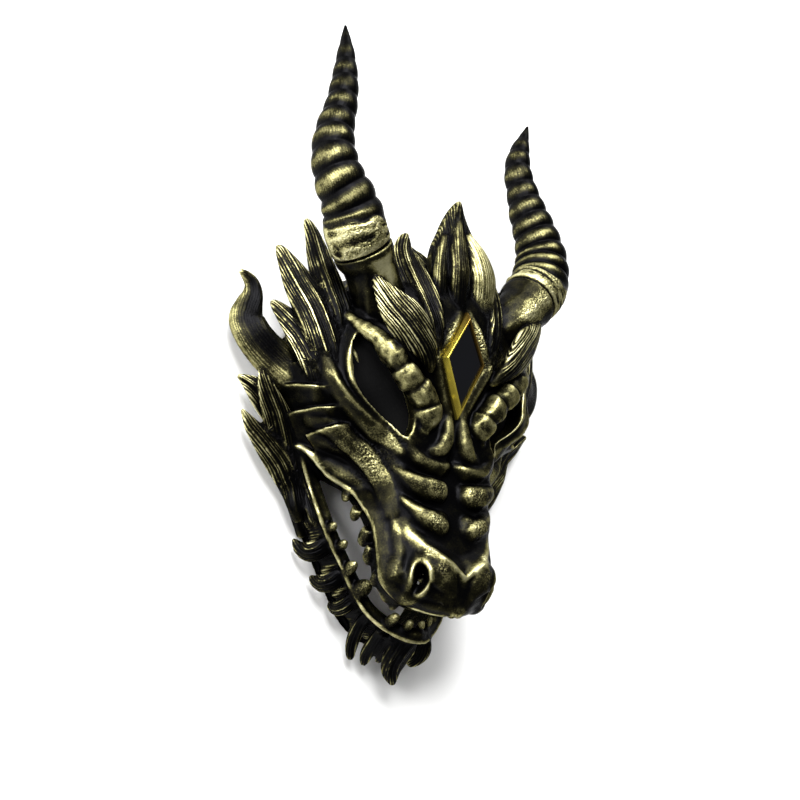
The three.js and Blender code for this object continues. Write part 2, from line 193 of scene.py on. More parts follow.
def pathFrame(path, outward):
    # the ways to the side of a path and up from it
    along = np.gradient(path[:, :3], axis=0)
    along /= np.linalg.norm(along, axis=1)[:, None]
    side = np.cross(along, outward)
    side /= np.linalg.norm(side, axis=1)[:, None]
    return side, np.cross(side, along)


def flip(points):
    return [(-p[0], *p[1:]) for p in points]


def stationAt(y, column):
    # smooth curve through the muzzle stations, without overshoot
    rows = np.array(face["muzzle"][::-1], float)
    ys, values = rows[:, 0], rows[:, column]
    rate = np.diff(values) / np.diff(ys)
    slope = np.zeros(len(ys))
    same = rate[:-1] * rate[1:] > 0
    slope[1:-1] = np.where(same, 2 * rate[:-1] * rate[1:] / (rate[:-1] + rate[1:] + 1e-12), 0)
    i = np.clip(np.searchsorted(ys, y) - 1, 0, len(ys) - 2)
    span = ys[i + 1] - ys[i]
    t = np.clip((y - ys[i]) / span, 0, 1)
    start = (2 * t ** 3 - 3 * t ** 2 + 1) * values[i] + (t ** 3 - 2 * t ** 2 + t) * span * slope[i]
    return start + (3 * t ** 2 - 2 * t ** 3) * values[i + 1] + (t ** 3 - t ** 2) * span * slope[i + 1]


def headHalf(y):
    up = np.clip((y - face["widestY"]) / (face["crownRound"] - face["widestY"]), 0, 1)
    down = np.clip((face["widestY"] - y) / (face["widestY"] - face["chinY"]), 0, 1)
    first, second = face["chinTaper"]
    crown, chin = np.sqrt(1 - up ** 2), (1 - down ** first) ** second
    return face["headHalf"] * np.where(y > face["widestY"], crown, chin)


def domeHeight(x, y):
    u = np.clip((y - face["widestY"]) / (face["crownRound"] - face["widestY"]), 0, 1)
    rise = face["browHeight"] - face["bridgeHeight"]
    top = face["bridgeHeight"] + rise * smoothStep(y, *face["browRise"])
    middle = face["rimBand"] + (top - face["rimBand"]) * np.sqrt(1 - u ** face["crownPower"])
    s = np.clip(np.abs(x) / np.maximum(headHalf(y), 1), 0, 1)
    fall = (1 - s ** face["domePower"]) ** (1 / face["domePower"])
    return face["rimBand"] + (middle - face["rimBand"]) * fall


def faceHalf(y):
    blend = smoothStep(y, *face["blend"])
    return stationAt(y, 2) * (1 - blend) + headHalf(y) * blend


def faceHeight(x, y):
    middle, half, lip = (stationAt(y, column) for column in (1, 2, 3))
    low = middle - (middle - lip) * np.clip(np.abs(x) / half, 0, 1.2) ** face["muzzlePower"]
    blend = smoothStep(y, *face["blend"])
    return low * (1 - blend) + domeHeight(x, y) * blend


def outOfHollow(points):
    # what would stick into the hollow of the head is lifted into its wall
    x, y, z = points.T
    half = faceHalf(y)
    inner = np.maximum(half - face["wall"], 1)
    inside = (np.abs(x) < inner) & (y > face["throatY"][1]) & (y < face["crownY"] - face["wall"])
    roof = faceHeight(np.clip(x / inner, -1, 1) * half, y) - face["wall"] + 1
    return np.stack([x, y, np.where(inside, np.maximum(z, roof), z)], 1)


# Face skin: folds and grooves along lines on its surface, with widths and heights in mm from one end to
# the other. A roll is full and round with a crease on both sides; the others are soft.
rolls = {
    "cheekFold": {
        "line": [(-64, 66, 47), (-70, 54, 42), (-72, 45.7, 41), (-71, 36.8, 44), (-69, 27, 47.5),
                 (-65, 18.6, 51), (-59, 10.5, 55), (-51.5, 2, 60), (-42, -5, 64.5), (-35, -10, 66.5)],
        "width": (2.5, 4, 4.6, 5.6, 6.5, 3), "height": (0.5, 4.4, 4.8, 5, 5.2, 0.6), "gilt": 0.28,
    },
    "outerFold": {
        "line": [(-71, 60, 38), (-73, 45.4, 37), (-71.5, 30.3, 43), (-68, 21.7, 47), (-63, 13, 51),
                 (-57, 4, 55), (-50, -4, 59)],
        "width": (3, 3.6, 4, 4, 3), "height": (0.5, 3.2, 3.2, 3, 0.6), "gilt": 0.26,
    },
    "cheekBone": {
        "line": [(-73, 5, 35), (-70, 3, 40), (-65, -0.4, 46.5), (-59, -8, 52.5), (-52, -15.4, 56.5),
                 (-47.4, -22.2, 59), (-41, -31, 59.5), (-37.5, -42, 61)],
        "width": (4, 6, 7, 7.5, 6), "height": (1.5, 4, 5.2, 4.6, 1.5), "gilt": 0.08,
    },
    "lipBand": {
        "line": [(-71, -13, 31), (-65, -20, 38), (-57, -25.5, 44.5), (-49, -33, 49), (-42.5, -44, 52.5),
                 (-40, -58, 55.5), (-38.5, -74, 58), (-34, -85, 60), (-25, -91, 63), (-13, -94.5, 69),
                 (0, -95.5, 77)],
        "width": (3, 5, 6, 6, 5, 4), "height": (0.8, 1.6, 1.8, 1.8, 2, 1.4), "gilt": -0.12,
    },
    "muzzleSide": {
        "line": [(-44, -30, 56), (-38, -42, 61), (-35.5, -56, 64), (-35, -70, 67), (-36, -80, 68)],
        "width": (3, 4, 4.5, 4), "height": (0.4, 1.2, 1.2, 0.4), "gilt": -0.2,
    },
    "upperWrinkle": {
        "line": [(-38, -19, 64), (-33, -22, 67), (-26, -25.5, 69.5), (-18, -28, 71.5), (-11.5, -28.5, 72.5)],
        "width": (2, 4, 6, 7.5, 6.5), "height": (0.8, 3, 4.6, 5.4, 3.6), "gilt": -0.02,
    },
    "lowerWrinkle": {
        "line": [(-36, -31, 63), (-32, -35.5, 66), (-26, -40.5, 70.5), (-19, -45.5, 74), (-12, -48.5, 76)],
        "width": (2, 3.6, 5, 6, 5.5), "height": (0.8, 2.6, 3.8, 4.2, 2.6), "gilt": -0.02,
    },
    "nasalRidge": {
        "line": [(-5, 16, 72), (-5.5, 8, 72), (-6.5, 2, 71.5), (-10, -4.5, 71), (-17, -8, 69.5)],
        "width": (2.5, 4.5, 5.5, 5, 3), "height": (1, 3.6, 4.6, 4, 1), "gilt": 0.12,
    },
    "bridgeRow": {
        "line": [(-30, -6, 66.5), (-24, -12, 68), (-16, -15, 69.5), (-8, -15.5, 70.5), (-1, -14, 71)],
        "width": (2.5, 4, 4.5, 4.5, 4), "height": (0.8, 3, 3.6, 4, 3), "gilt": 0.0,
    },
    "wingSide": {
        "line": [(-38, -62, 64), (-39, -71, 66), (-38, -79, 67), (-33, -86, 67)],
        "width": (4, 8, 9, 6), "height": (0.5, 2.8, 3.2, 1.0), "gilt": -0.28,
    },
    "noseWing": {
        "line": [(-24, -66, 77), (-19, -72, 79), (-13, -78, 81), (-8, -85, 82)],
        "width": (4, 7.5, 8, 5), "height": (1.5, 4, 4, 1), "gilt": 0.05,
    },
}
ridges = {
    "lowerLid": {
        "line": [(-62, 55, 56), (-63.7, 46, 54), (-64.4, 39, 53.5), (-62.5, 28, 54.5), (-57.3, 18.4, 57.5),
                 (-49.2, 9.5, 62), (-41.9, 3.5, 65.5), (-34, -1.6, 67.5), (-28, -4, 68.5)],
        "width": (1.6, 2.2, 2.2, 2.2, 2.2, 1.6), "height": (1, 2.6, 3, 3, 2.8, 0.8),
    },
    "noseFold": {
        "line": [(-34, -49, 65), (-28.5, -55.5, 70.5), (-24, -60.5, 75.5), (-17.4, -64.5, 79),
                 (-10, -69, 81.5), (-4, -74.5, 82.5), (0, -77, 82.5)],
        "width": (2, 2.4, 2.4, 2.2), "height": (1, 3.4, 4.4, 4.4), "gilt": 0.35,
    },
    "foreheadLine": {
        "line": [(-19, 78, 75), (-22, 62, 75), (-20, 46, 74.5), (-14, 30, 73), (-7, 18, 72)],
        "width": (2.5, 3, 3, 2.5), "height": (0.8, 2, 2, 1),
    },
    "lidStrand": {
        "line": [(-66, 56, 48), (-68, 42, 46), (-67, 28, 49.5), (-62, 17, 54), (-55, 8, 59), (-45, -0.5, 64)],
        "width": (1.2, 1.6, 1.8, 1.6, 1.2), "height": (0.6, 1.6, 1.8, 1.8, 0.6),
    },
    "templeStrand": {
        "line": [(-66, 74, 45), (-71, 60, 41), (-75, 46, 33), (-75.5, 34, 31)],
        "width": (1.4, 1.8, 1.6), "height": (0.6, 1.8, 0.6),
    },
    "underFold": {
        "line": [(-62, -2, 52), (-56, -11, 56), (-49, -18, 59), (-43, -27, 61)],
        "width": (1.5, 2, 2, 1.5), "height": (0.4, 1.4, 1.4, 0.4),
    },
    "cheekCrease": {
        "line": [(-74, -8, 30), (-66, -12, 37), (-58, -18, 44), (-50, -26, 50)],
        "width": (4, 4.5, 4.5, 3), "height": (-2, -4, -4, -1),
    },
    "wrinkleCrease": {
        "line": [(-38, -28, 63), (-28, -34.5, 68), (-16, -37.5, 71.5), (0, -36, 72.5)],
        "width": (2, 3, 3.5, 4.5), "height": (-1, -2.6, -3.6, -4.6),
    },
    "middleGroove": {
        "line": [(0, 13, 71), (0, -8, 70), (0, -24, 71), (0, -40, 74), (0, -54, 76)],
        "width": (2.5, 3, 5.5, 6.5, 7), "height": (-1.5, -2.5, -5, -5, -4),
    },
    "noseHollow": {
        "line": [(0, -60, 79), (-9, -58, 77), (-19, -54, 73), (-27, -49, 69)],
        "width": (8, 7, 5, 3), "height": (-4.4, -4, -3, -1),
    },
    "wingHollow": {
        "line": [(-33, -58, 68), (-31, -66, 71), (-34, -78, 69), (-32, -88, 69)],
        "width": (3, 4, 3.5, 3), "height": (-1, -2.5, -2, -1),
    },
    "bridgeHollow": {
        "line": [(-34, -14, 65), (-22, -19.5, 68), (-10, -20, 70), (0, -19, 70.5)],
        "width": (3, 3, 3.4, 4), "height": (-1.6, -2.8, -3, -3),
    },
    "stoneBank": {
        "line": [(-19, 46, 74.5), (-14, 56, 75.5), (-8.5, 66, 76.5), (-3, 76, 76.5)],
        "width": (1.5, 2.2, 2.2, 1.5), "height": (0.5, 2.4, 2.4, 0.5),
    },
    "browHollow": {
        "line": [(-54, 66, 62), (-44, 56, 70), (-32, 45, 73.5), (-20, 32, 73.5), (-13, 18, 72),
                 (-12, 8, 71.5)],
        "width": (4, 5, 5, 4.5, 3.5, 3), "height": (-2, -4, -4, -3.5, -3, -1.5),
    },
}
# Overlapping plates down the side of the cheek: two ends of the raised edge, length of the slope and rise
plates = [
    ((-80, 41, 4), (-71, 37, 41), 17, 6.5), ((-79, 28, 14), (-69, 24, 46), 17, 7),
    ((-77, 11, 22), (-64, 13.5, 50), 17, 7), ((-72, -2, 31), (-58, 4, 53), 15, 6),
]
nostril = {
    "middle": (-24.6, -79), "reach": (3.4, 8.4), "turn": 0.1, "depth": 11, "rim": 2.2, "rimWidth": 1.6,
}
# Strands combed round the back of the crown: the y where they set in, and the z where they end
crownHair = {"from": (35, 65), "above": (30, 46), "strands": 26, "depth": 2.0, "sway": 0.02, "hair": 0.7}
# Spots where the foam's grain shows through the gold: middle and reach
grainSpots = [
    ((-50, -17, 57), 17), ((-62, -4, 48), 12), ((-40, -2, 64), 8), ((-14, -28, 72), 9), ((-15, -47, 75), 9),
    ((-20, -64, 77), 6), ((-16, -74, 80), 6), ((-24, 50, 75), 14), ((-10, 60, 76), 12),
]


def alongFold(points, spec):
    # distance of each point from the middle of a fold, and the fold's width and height there
    distance, where = nearLine(points, smoothPath(spec["line"], 24))
    profiles = (spec["width"], spec["height"])
    width, height = (np.interp(where, np.linspace(0, 1, len(values)), values) for values in profiles)
    return distance, width, height


def crownStrands(points):
    # where the back of the crown is combed, and how far round it each point lies
    share = smoothStep(points[:, 1], *crownHair["from"]) * (1 - smoothStep(points[:, 2], *crownHair["above"]))
    return share, np.arctan2(points[:, 0], points[:, 1] - face["widestY"]) + crownHair["sway"] * points[:, 2]


def foldRise(points):
    rise = np.zeros(len(points))
    for spec in rolls.values():
        distance, width, height = alongFold(points, spec)
        rise = np.maximum(rise, height * np.sqrt(np.clip(1 - (distance / width) ** 2, 0, 1)))
    for spec in ridges.values():
        distance, width, height = alongFold(points, spec)
        rise += height * (1 - smoothStep(distance, 0, 1.6 * width))
    return rise


def plateRise(points):
    rise = np.zeros(len(points))
    for first, second, slope, height in plates:
        first, second = np.array(first, float), np.array(second, float)
        edge = second - first
        length = np.linalg.norm(edge)
        edge /= length
        down = np.array([0, -1.0, 0]) - edge * -edge[1]
        down /= np.linalg.norm(down)
        u = (points - first) @ edge
        v = (points - first) @ down
        inside = smoothStep(u, -0.8, 0.8) * (1 - smoothStep(u, length - 8, length + 1))
        rise += inside * height * smoothStep(v, -0.7, 0.5) * np.clip(1 - v / slope, 0, 1)
    return rise


def nostrilRing(points):
    # 0 in the middle of the nostril and 1 at its edge
    offset = points[:, :2] - nostril["middle"]
    c, s = np.cos(nostril["turn"]), np.sin(nostril["turn"])
    u, v = offset[:, 0] * c + offset[:, 1] * s, -offset[:, 0] * s + offset[:, 1] * c
    return np.hypot(u / nostril["reach"][0], v / nostril["reach"][1])


def faceRelief(points):
    # how far the skin stands out, and how deep the nostrils are pressed in
    folded = np.stack([-np.abs(points[:, 0]), points[:, 1], points[:, 2]], 1)
    combed, turn = crownStrands(points)
    strands = combed * crownHair["depth"] * np.abs(np.sin(crownHair["strands"] * turn)) ** 0.8
    rise = np.maximum(foldRise(folded) - strands, face["deepest"]) + plateRise(folded)
    across, along, share = face["flatCheek"]
    rise *= 1 - share * smoothStep(points[:, 0], *across) * (1 - smoothStep(points[:, 1], *along))
    ring = nostrilRing(folded)
    off = (ring - 1.15) * nostril["reach"][0]
    rise += nostril["rim"] * np.exp(-(off / nostril["rimWidth"]) ** 2)
    return rise, nostril["depth"] * (1 - smoothStep(ring, 0.45, 1.0))


def skinPoints(a, b, inset):
    # a and b run from -1 to 1 across and along; the last share of each goes down the wall to the rim
    sideShare, endShare = face["sideShare"], face["endShare"]
    across = np.clip(a / sideShare, -1, 1)
    along = np.clip(b / endShare, -1, 1)
    top, bottom = face["crownY"] - inset, face["tipY"] + inset
    y = (top + bottom) / 2 + (top - bottom) / 2 * np.sin(along * np.pi / 2)
    half = faceHalf(y)
    x = np.sin(across * np.pi / 2) * (half - inset)
    z = faceHeight(x * half / (half - inset), y) - inset
    lipBottom = stationAt(y, 3) - face["lipWall"]
    rim = lipBottom * (1 - smoothStep(y, *face["throatY"]))
    drop = np.maximum(np.abs(a) - sideShare, 0) / (1 - sideShare)
    drop = np.maximum(drop, np.maximum(np.abs(b) - endShare, 0) / (1 - endShare))
    # the wall leans in under the lip
    lean = face["lipLean"] * drop * (1 - smoothStep(y, *face["throatY"])) * smoothStep(half, 5, 30)
    return np.stack([x - np.sign(x) * lean, y, z + (rim - z) * drop], 1)


# Lozenge stone on the brow. Its frame rises from a low outer edge to a narrow rim round the stone.
stone = {
    "halfWidth": 15.5, "halfLength": 31, "widestAt": 2.2, "y": 44, "z": 75.2, "slope": 0.1,
    "rim": 0.9, "bevel": 1.9, "seat": 3.2, "proud": 2.4, "sunk": 0.9, "gap": 0.3, "edge": -0.6,
    # the stone's slope at its edge, in and down, and the rounding of the stone's edges and the frame's
    "facet": (1.2, 0.5), "stoneRound": 0.15, "frameRound": 0.22,
    # painted highlight and shade: the frame's lacquer is bright below and short of these, and dull above and
    # beyond them, in metres
    "shineX": (-0.002, 0.002), "shineY": (-0.004, -0.003),
}
stoneTurn = Matrix.Translation((0, stone["y"], stone["z"])) @ Matrix.Rotation(stone["slope"], 4, "X")


def lozenge(bm, inset, height):
    scale = 1 - inset / stone["halfWidth"]
    side, tip, waist = stone["halfWidth"] * scale, stone["halfLength"] * scale, stone["widestAt"]
    corners = (0, -tip), (side, waist), (0, tip), (-side, waist)
    return [bm.verts.new((x, y, height)) for x, y in corners]


def prism(bm, insets, heights):
    # walls through a run of lozenges, closed at both ends
    loops = [lozenge(bm, inset, height) for inset, height in zip(insets, heights)]
    for low, high in zip(loops, loops[1:]):
        for i in range(4):
            bm.faces.new((low[i], low[(i + 1) % 4], high[(i + 1) % 4], high[i]))
    return loops


def stoneCutter():
    bm = bmesh.new()
    loops = prism(bm, (-0.15, -0.15), (-stone["seat"] - 0.05, 25))
    bm.faces.new(loops[0])
    bm.faces.new(loops[1])
    bmesh.ops.recalc_face_normals(bm, faces=bm.faces)
    bmesh.ops.transform(bm, matrix=stoneTurn, verts=bm.verts)
    return newPiece("stoneCutter", bm)


def eyeCutter(s):
    # upright prism with the outline of the eye
    outline = [(s * x, y, 25) for x, y in face["eye"]]
    bm = bmesh.new()
    base = bm.faces.new([bm.verts.new(p) for p in smoothPath(outline + outline[:1], 120)[:-1]])
    raised = bmesh.ops.extrude_face_region(bm, geom=[base])["geom"]
    bmesh.ops.translate(bm, vec=(0, 0, 75), verts=[v for v in raised if isinstance(v, bmesh.types.BMVert)])
    bmesh.ops.recalc_face_normals(bm, faces=bm.faces)
    return newPiece("eyeCutter", bm)


def faceGrain(points):
    grain = np.zeros(len(points))
    for middle, reach in grainSpots:
        distance = np.linalg.norm(points - middle, axis=1)
        grain = np.maximum(grain, 1 - smoothStep(distance, 0.3 * reach, reach))
    return grain


def faceGilt(points):
    # where rolls meet, the one that changes the gold most counts
    gilt = np.zeros(len(points))
    for spec in rolls.values():
        distance, width = alongFold(points, spec)[:2]
        pull = spec["gilt"] * np.clip(1 - (distance / (width + 1)) ** 2, 0, 1) ** 2
        gilt = np.where(np.abs(pull) > np.abs(gilt), pull, gilt)
    fold = ridges["noseFold"]
    distance = alongFold(points, fold)[0]
    return np.maximum(gilt, fold["gilt"] * (1 - smoothStep(distance, 3.5, 5.5)))


def makeFaceSkin():
    bm = bmesh.new()
    bmesh.ops.create_grid(bm, x_segments=face["across"], y_segments=face["along"], size=1)
    grid = readPoints(bm)
    a, b = grid[:, 0], grid[:, 1]
    outer, inner = skinPoints(a, b, 0), skinPoints(a, b, face["wall"])
    step = 1e-3
    normal = np.cross(skinPoints(a + step, b, 0) - skinPoints(a - step, b, 0),
                      skinPoints(a, b + step, 0) - skinPoints(a, b - step, 0))
    normal /= np.maximum(np.linalg.norm(normal, axis=1), 1e-9)[:, None]
    normal[np.abs(normal).sum(1) < 0.5] = (0, 0, 1)
    # the second grid is the inside of the wall
    bmesh.ops.create_grid(bm, x_segments=face["across"], y_segments=face["along"], size=1)
    rise, press = faceRelief(outer)
    writePoints(bm, np.vstack([outer + normal * (rise - press)[:, None], inner - normal * press[:, None]]))
    bmesh.ops.bridge_loops(bm, edges=[e for e in bm.edges if e.is_boundary])
    bmesh.ops.recalc_face_normals(bm, faces=bm.faces)
    skin = cutAway(newPiece("skin", bm), [eyeCutter(1), eyeCutter(-1), stoneCutter()])
    bm = bmesh.new()
    bm.from_mesh(skin.data)
    bpy.data.objects.remove(skin)
    folded = readPoints(bm)
    folded[:, 0] = -np.abs(folded[:, 0])
    combed, turn = crownStrands(readPoints(bm))
    addPart(bm, grain=faceGrain(folded), gilt=faceGilt(folded), hair=crownHair["hair"] * combed,
            strandAcross=turn * face["headHalf"], strandAlong=folded[:, 2])


makeFaceSkin()
print("face skin made")

# Locks of the mane, right side. Each point is x, y, z, half width and thickness. Flutes run along the lock,
# and carve is a share of their depth. A dished lock is hollow along its middle, with raised edges. Flank
# gilds its outer edge, and darkRoot keeps gold off its root, or adds it where it is below zero. leftReach is
# how far its twin on the left reaches out, as a share.
locks = {
    "temple": {
        "line": [(-63, 44, 43, 3, 6), (-65, 54, 46, 6, 9), (-67.5, 66, 46, 8, 10), (-71, 79, 42.5, 8.5, 10),
                 (-73, 92, 37, 8, 8.5), (-74, 104, 32, 6.5, 7.5), (-75.5, 114, 29, 4.6, 6),
                 (-78, 122, 26.5, 2.6, 4.5), (-79, 124, 26, 1.2, 2.4)],
        "flutes": 2, "carve": 0.85, "gilt": -0.08, "hair": 1.1,
    },
    "upper": {
        "line": [(-64, 24, 40, 3, 6), (-68.5, 36, 44, 6, 10), (-74, 52, 43, 9.5, 11),
                 (-80, 69, 38.5, 11, 10), (-86, 83, 32.5, 9, 8.5), (-91, 94, 28.5, 6, 7),
                 (-95.5, 102, 26, 3, 5), (-97.5, 104, 25.5, 1.2, 2.4)],
        "flutes": 3, "carve": 0.75, "gilt": -0.08, "hair": 1.1,
    },
    "middle": {
        "line": [(-67, 16, 36, 3, 6), (-72, 28, 39, 6, 10), (-77, 41, 37.5, 9, 10), (-83, 54, 33, 8.5, 9),
                 (-88, 62, 28.5, 6.5, 7.5), (-93, 68, 25, 4.2, 6), (-96.5, 71, 23.5, 2.4, 4),
                 (-98, 71.5, 23, 1.2, 2.4)],
        "flutes": 2, "carve": 0.85, "gilt": -0.08, "hair": 1.1,
    },
    "hook": {
        "line": [(-70, 24, 20, 6, 8), (-75.5, 29, 22, 9.5, 11), (-81, 33, 21.5, 11, 12),
                 (-86.5, 37, 20.2, 11.5, 12), (-92, 41.5, 19, 11.5, 12), (-97.5, 46, 17.7, 11, 11.5),
                 (-104, 53.5, 15.8, 10.5, 11), (-107, 62, 13.5, 10, 10.5), (-105, 70, 12.5, 8, 9.5),
                 (-103, 77, 12.5, 6, 8), (-104, 83, 12.5, 4.4, 6.5), (-108, 87, 12, 3, 5),
                 (-112.5, 89, 12, 1.2, 2.6)],
        "flutes": 0, "dish": 0.22, "flank": 0.35, "gilt": -0.3, "darkRoot": -0.5,
    },
    "upperFork": {
        "line": [(-62, -46, 10, 3, 6), (-69, -32, 13, 6, 9), (-76, -17, 16, 7.5, 10),
                 (-83, -2, 18.5, 8.5, 10), (-88, 9, 20, 8, 9), (-92, 17.5, 19.5, 6.5, 8),
                 (-95.5, 25, 19, 4.4, 6), (-98, 31.5, 18.4, 2.2, 4), (-98.6, 34, 18, 1, 2.2)],
        "flutes": 2, "dish": 0.2, "leftReach": 0.8,
    },
    "forkBarb": {
        "line": [(-78, 2, 13, 4, 7), (-86, 11, 14, 7, 8), (-93, 19, 14, 7.5, 8), (-99, 24.5, 13, 6, 7),
                 (-104, 27.5, 11.5, 3.6, 5), (-108.5, 29.5, 10.5, 1.2, 2.6)],
        "flutes": 2,
    },
    "jaw": {
        "line": [(-54, -53, 3, 3, 6), (-59, -44, 5.5, 4, 8), (-66, -33, 9.5, 5.5, 9),
                 (-73.6, -23.6, 12.5, 7, 10), (-81.4, -15.6, 15, 8, 10), (-87.9, -9.2, 15, 7.5, 9),
                 (-93.7, -3.3, 14, 6, 8), (-98.3, 1.8, 12.5, 4.6, 6.5), (-101.3, 6.7, 11, 2.8, 5),
                 (-104.3, 11.1, 10, 1, 2.4)],
        "flutes": 4, "leftReach": 0.8,
    },
    "crestSide": {
        "line": [(-20, 46, 74, 2, 5), (-21.5, 57, 75, 5, 8), (-24, 66, 74.5, 7.5, 9), (-27, 77, 71, 9.5, 9),
                 (-30, 88, 66, 10, 9), (-31.5, 99, 60.5, 8.5, 8), (-30.5, 110, 55, 6, 7),
                 (-26.5, 119, 51.5, 3.4, 5), (-24, 122.5, 50, 1.2, 2.4)],
        "flutes": 2, "hair": 0.9,
    },
    "petal": {
        "line": [(-22, 37, 73, 1.5, 4), (-26, 41.5, 77, 4, 7), (-31, 47, 79, 7, 8.5),
                 (-38, 55, 78.5, 10.5, 9), (-45, 63, 76.5, 11.5, 9), (-51, 69, 74.5, 9.5, 8),
                 (-55.5, 74.5, 73, 7, 7), (-59, 79.5, 71.5, 4.4, 6), (-61, 83.5, 70, 2.2, 4),
                 (-61.6, 85, 69.5, 1.1, 2.2)],
        "flutes": 5, "carve": 0.4, "gilt": 0.1, "hair": 1.35,
    },
    "crownBack": {
        "line": [(-38, 80, 60, 5, 8), (-43, 92, 54, 8, 8), (-46, 104, 44, 6.5, 7), (-46, 114, 37, 2, 3)],
        "flutes": 3,
    },
    "crownInner": {
        "line": [(-16, 84, 62, 6, 8), (-17, 98, 56, 9, 8), (-20, 111, 46, 7, 7), (-20, 122, 38, 2, 3)],
        "flutes": 3,
    },
}
lockShape = {
    "rings": 52, "sides": 64, "outward": (-0.45, -0.1, 0.89), "roundness": 2.1, "darkRoot": 0.35,
    # a flute's depth is the least of three: a share of half the lock's width plus some mm, the same of its
    # own width, and a share of the lock's thickness
    "forLock": (0.17, 0.9), "forFlute": (0.6, 0.3), "forThickness": 0.4, "sway": 0.16,
}


def fluteDepth(spec, u, t, half, thick):
    # u runs from -1 to 1 across the lock, and t from 0 to 1 along it
    count = spec["flutes"]
    across = u + lockShape["sway"] * np.sin(3 * t + count) * (1 - u ** 2)
    wave = np.abs(np.sin(np.pi * count * (across + 1) / 2)) ** 0.8
    forLock, forFlute = lockShape["forLock"], lockShape["forFlute"]
    deepest = np.minimum(forLock[0] * half + forLock[1], forFlute[0] * half / count + forFlute[1])
    deepest = np.minimum(deepest, lockShape["forThickness"] * thick) * spec.get("carve", 1)
    return deepest * wave * smoothStep(t, 0, 0.2)


def addLock(spec, mirrored, outward=lockShape["outward"]):
    points = spec["line"]
    if mirrored:
        root, reach = points[0][0], spec.get("leftReach", 1)
        points = flip([(root + (x - root) * reach, *rest) for x, *rest in points])
        outward = (-outward[0], *outward[1:])
    path = smoothPath(points, lockShape["rings"])
    side, up = pathFrame(path, outward)
    bm, ring, angle = newTube(lockShape["rings"], lockShape["sides"])
    u = np.cos(angle)
    half, thick = np.maximum(path[ring, 3], 0.4), np.maximum(path[ring, 4], 0.8)
    t = ring / (lockShape["rings"] - 1)
    plump = (1 - np.abs(u) ** lockShape["roundness"]) ** (1 / lockShape["roundness"])
    hollow = spec.get("dish", 0) * thick * (1 - u ** 2) ** 2 * smoothStep(t, 0.1, 0.35)
    if spec["flutes"]:
        hollow += fluteDepth(spec, u, t, half, thick) * plump ** 0.5
    height = np.where(np.sin(angle) > 0, plump * thick / 2 - hollow, -plump * thick / 2)
    points = path[ring, :3] + side[ring] * (u * half)[:, None] + up[ring] * height[:, None]
    writePoints(bm, outOfHollow(points))
    length = np.concatenate([[0], np.cumsum(np.linalg.norm(np.diff(path[:, :3], axis=0), axis=1))])
    hair = smoothStep(t, 0.02, 0.3) * spec.get("hair", 1 if spec["flutes"] else 0.25)
    outer = -u if points[0, 0] < 0 else u
    gilt = spec.get("gilt", 0) + spec.get("flank", 0) * smoothStep(outer, -0.5, 0.5)
    gilt = gilt - spec.get("darkRoot", lockShape["darkRoot"]) * (1 - smoothStep(t, 0.05, 0.5))
    addPart(bm, strandAcross=u * half, strandAlong=length[ring], hair=hair, gilt=gilt)


for spec in locks.values():
    for mirrored in (False, True):
        addLock(spec, mirrored)
print("mane made")

# Crest above the stone: one tall fluted flame, with a narrow flame lying on its middle
crest = {
    "spike": [(0, 77, 62, 10, 16), (0, 86, 65, 16, 20), (0, 97, 66, 20, 21), (0, 107, 66, 20, 19),
              (0, 117, 65.5, 17, 16), (-0.5, 127, 65, 11.5, 12), (0, 136, 65, 6.5, 8.5),
              (1.5, 142.5, 65, 2.6, 5), (2.5, 144.5, 64.5, 1.2, 2.4)],
    "lobes": [
        [(-2, 68, 73, 2, 4), (-3.5, 77, 74, 3.5, 5), (-5, 87, 75, 5, 6.5), (-6, 98, 76.5, 6.5, 7),
         (-5, 111, 74, 5.5, 6), (-2.5, 124, 70, 3.4, 5), (0, 134, 67, 1.4, 3)],
        [(13, 64, 72, 2, 4), (14.5, 74, 72, 5, 5), (15, 85, 72.5, 7.6, 6.5), (14.4, 98, 73.5, 8.6, 7.5),
         (11.5, 111, 72, 6.4, 6.5), (6, 124, 69, 2, 3)],
        [(-12, 68, 71, 2, 4), (-14, 77, 71, 3.5, 5), (-15.5, 87, 71, 4.5, 6.5), (-16, 98, 72, 5, 6),
         (-14, 109, 70.5, 4, 5), (-10.5, 120, 68.5, 1.6, 3)],
    ],
    "gilt": (0.0, 0.4, 0.0), "hair": 0.45,
}
addLock({"line": crest["spike"], "flutes": 4, "gilt": -0.12, "hair": 0.6}, False, (0, 0, 1))
for line, gilt in zip(crest["lobes"], crest["gilt"]):
    addLock({"line": line, "flutes": 0, "gilt": gilt, "hair": crest["hair"]}, False, (-0.1, 0, 1))


# Brow: a spike at the outer end, then knuckles that lap over each other down to the bridge of the nose
brow = {
    "line": [(-67, 71, 41, 0.8), (-66, 69.5, 43, 1.6), (-63.5, 64.5, 50, 2.8), (-60, 58.5, 56.5, 3.8),
             (-56, 54.5, 61, 4.6), (-51.5, 50.5, 64.5, 5.6), (-47.5, 45, 67.5, 6.6), (-42, 39, 69.5, 7.2),
             (-36.5, 32.5, 70.5, 7.2), (-30.5, 27.5, 71, 7.2), (-24.6, 21.6, 71, 7.6), (-20.6, 15, 70, 7.4),
             (-19.8, 8.5, 68.5, 6.4), (-22, 2, 66, 3)],
    "joints": [(-52.5, 51.5, 64), (-40, 36.5, 70), (-30, 27, 71), (-21.8, 16.5, 70.5), (-22, 4.5, 67)],
    "fullest": 0.3, "thinnest": 0.78, "swell": 0.28, "gilt": 0.16,
    "prong": [(-64.5, 47, 52, 1.6), (-61, 43, 54, 1.4), (-59, 38, 55, 0.6)],
}


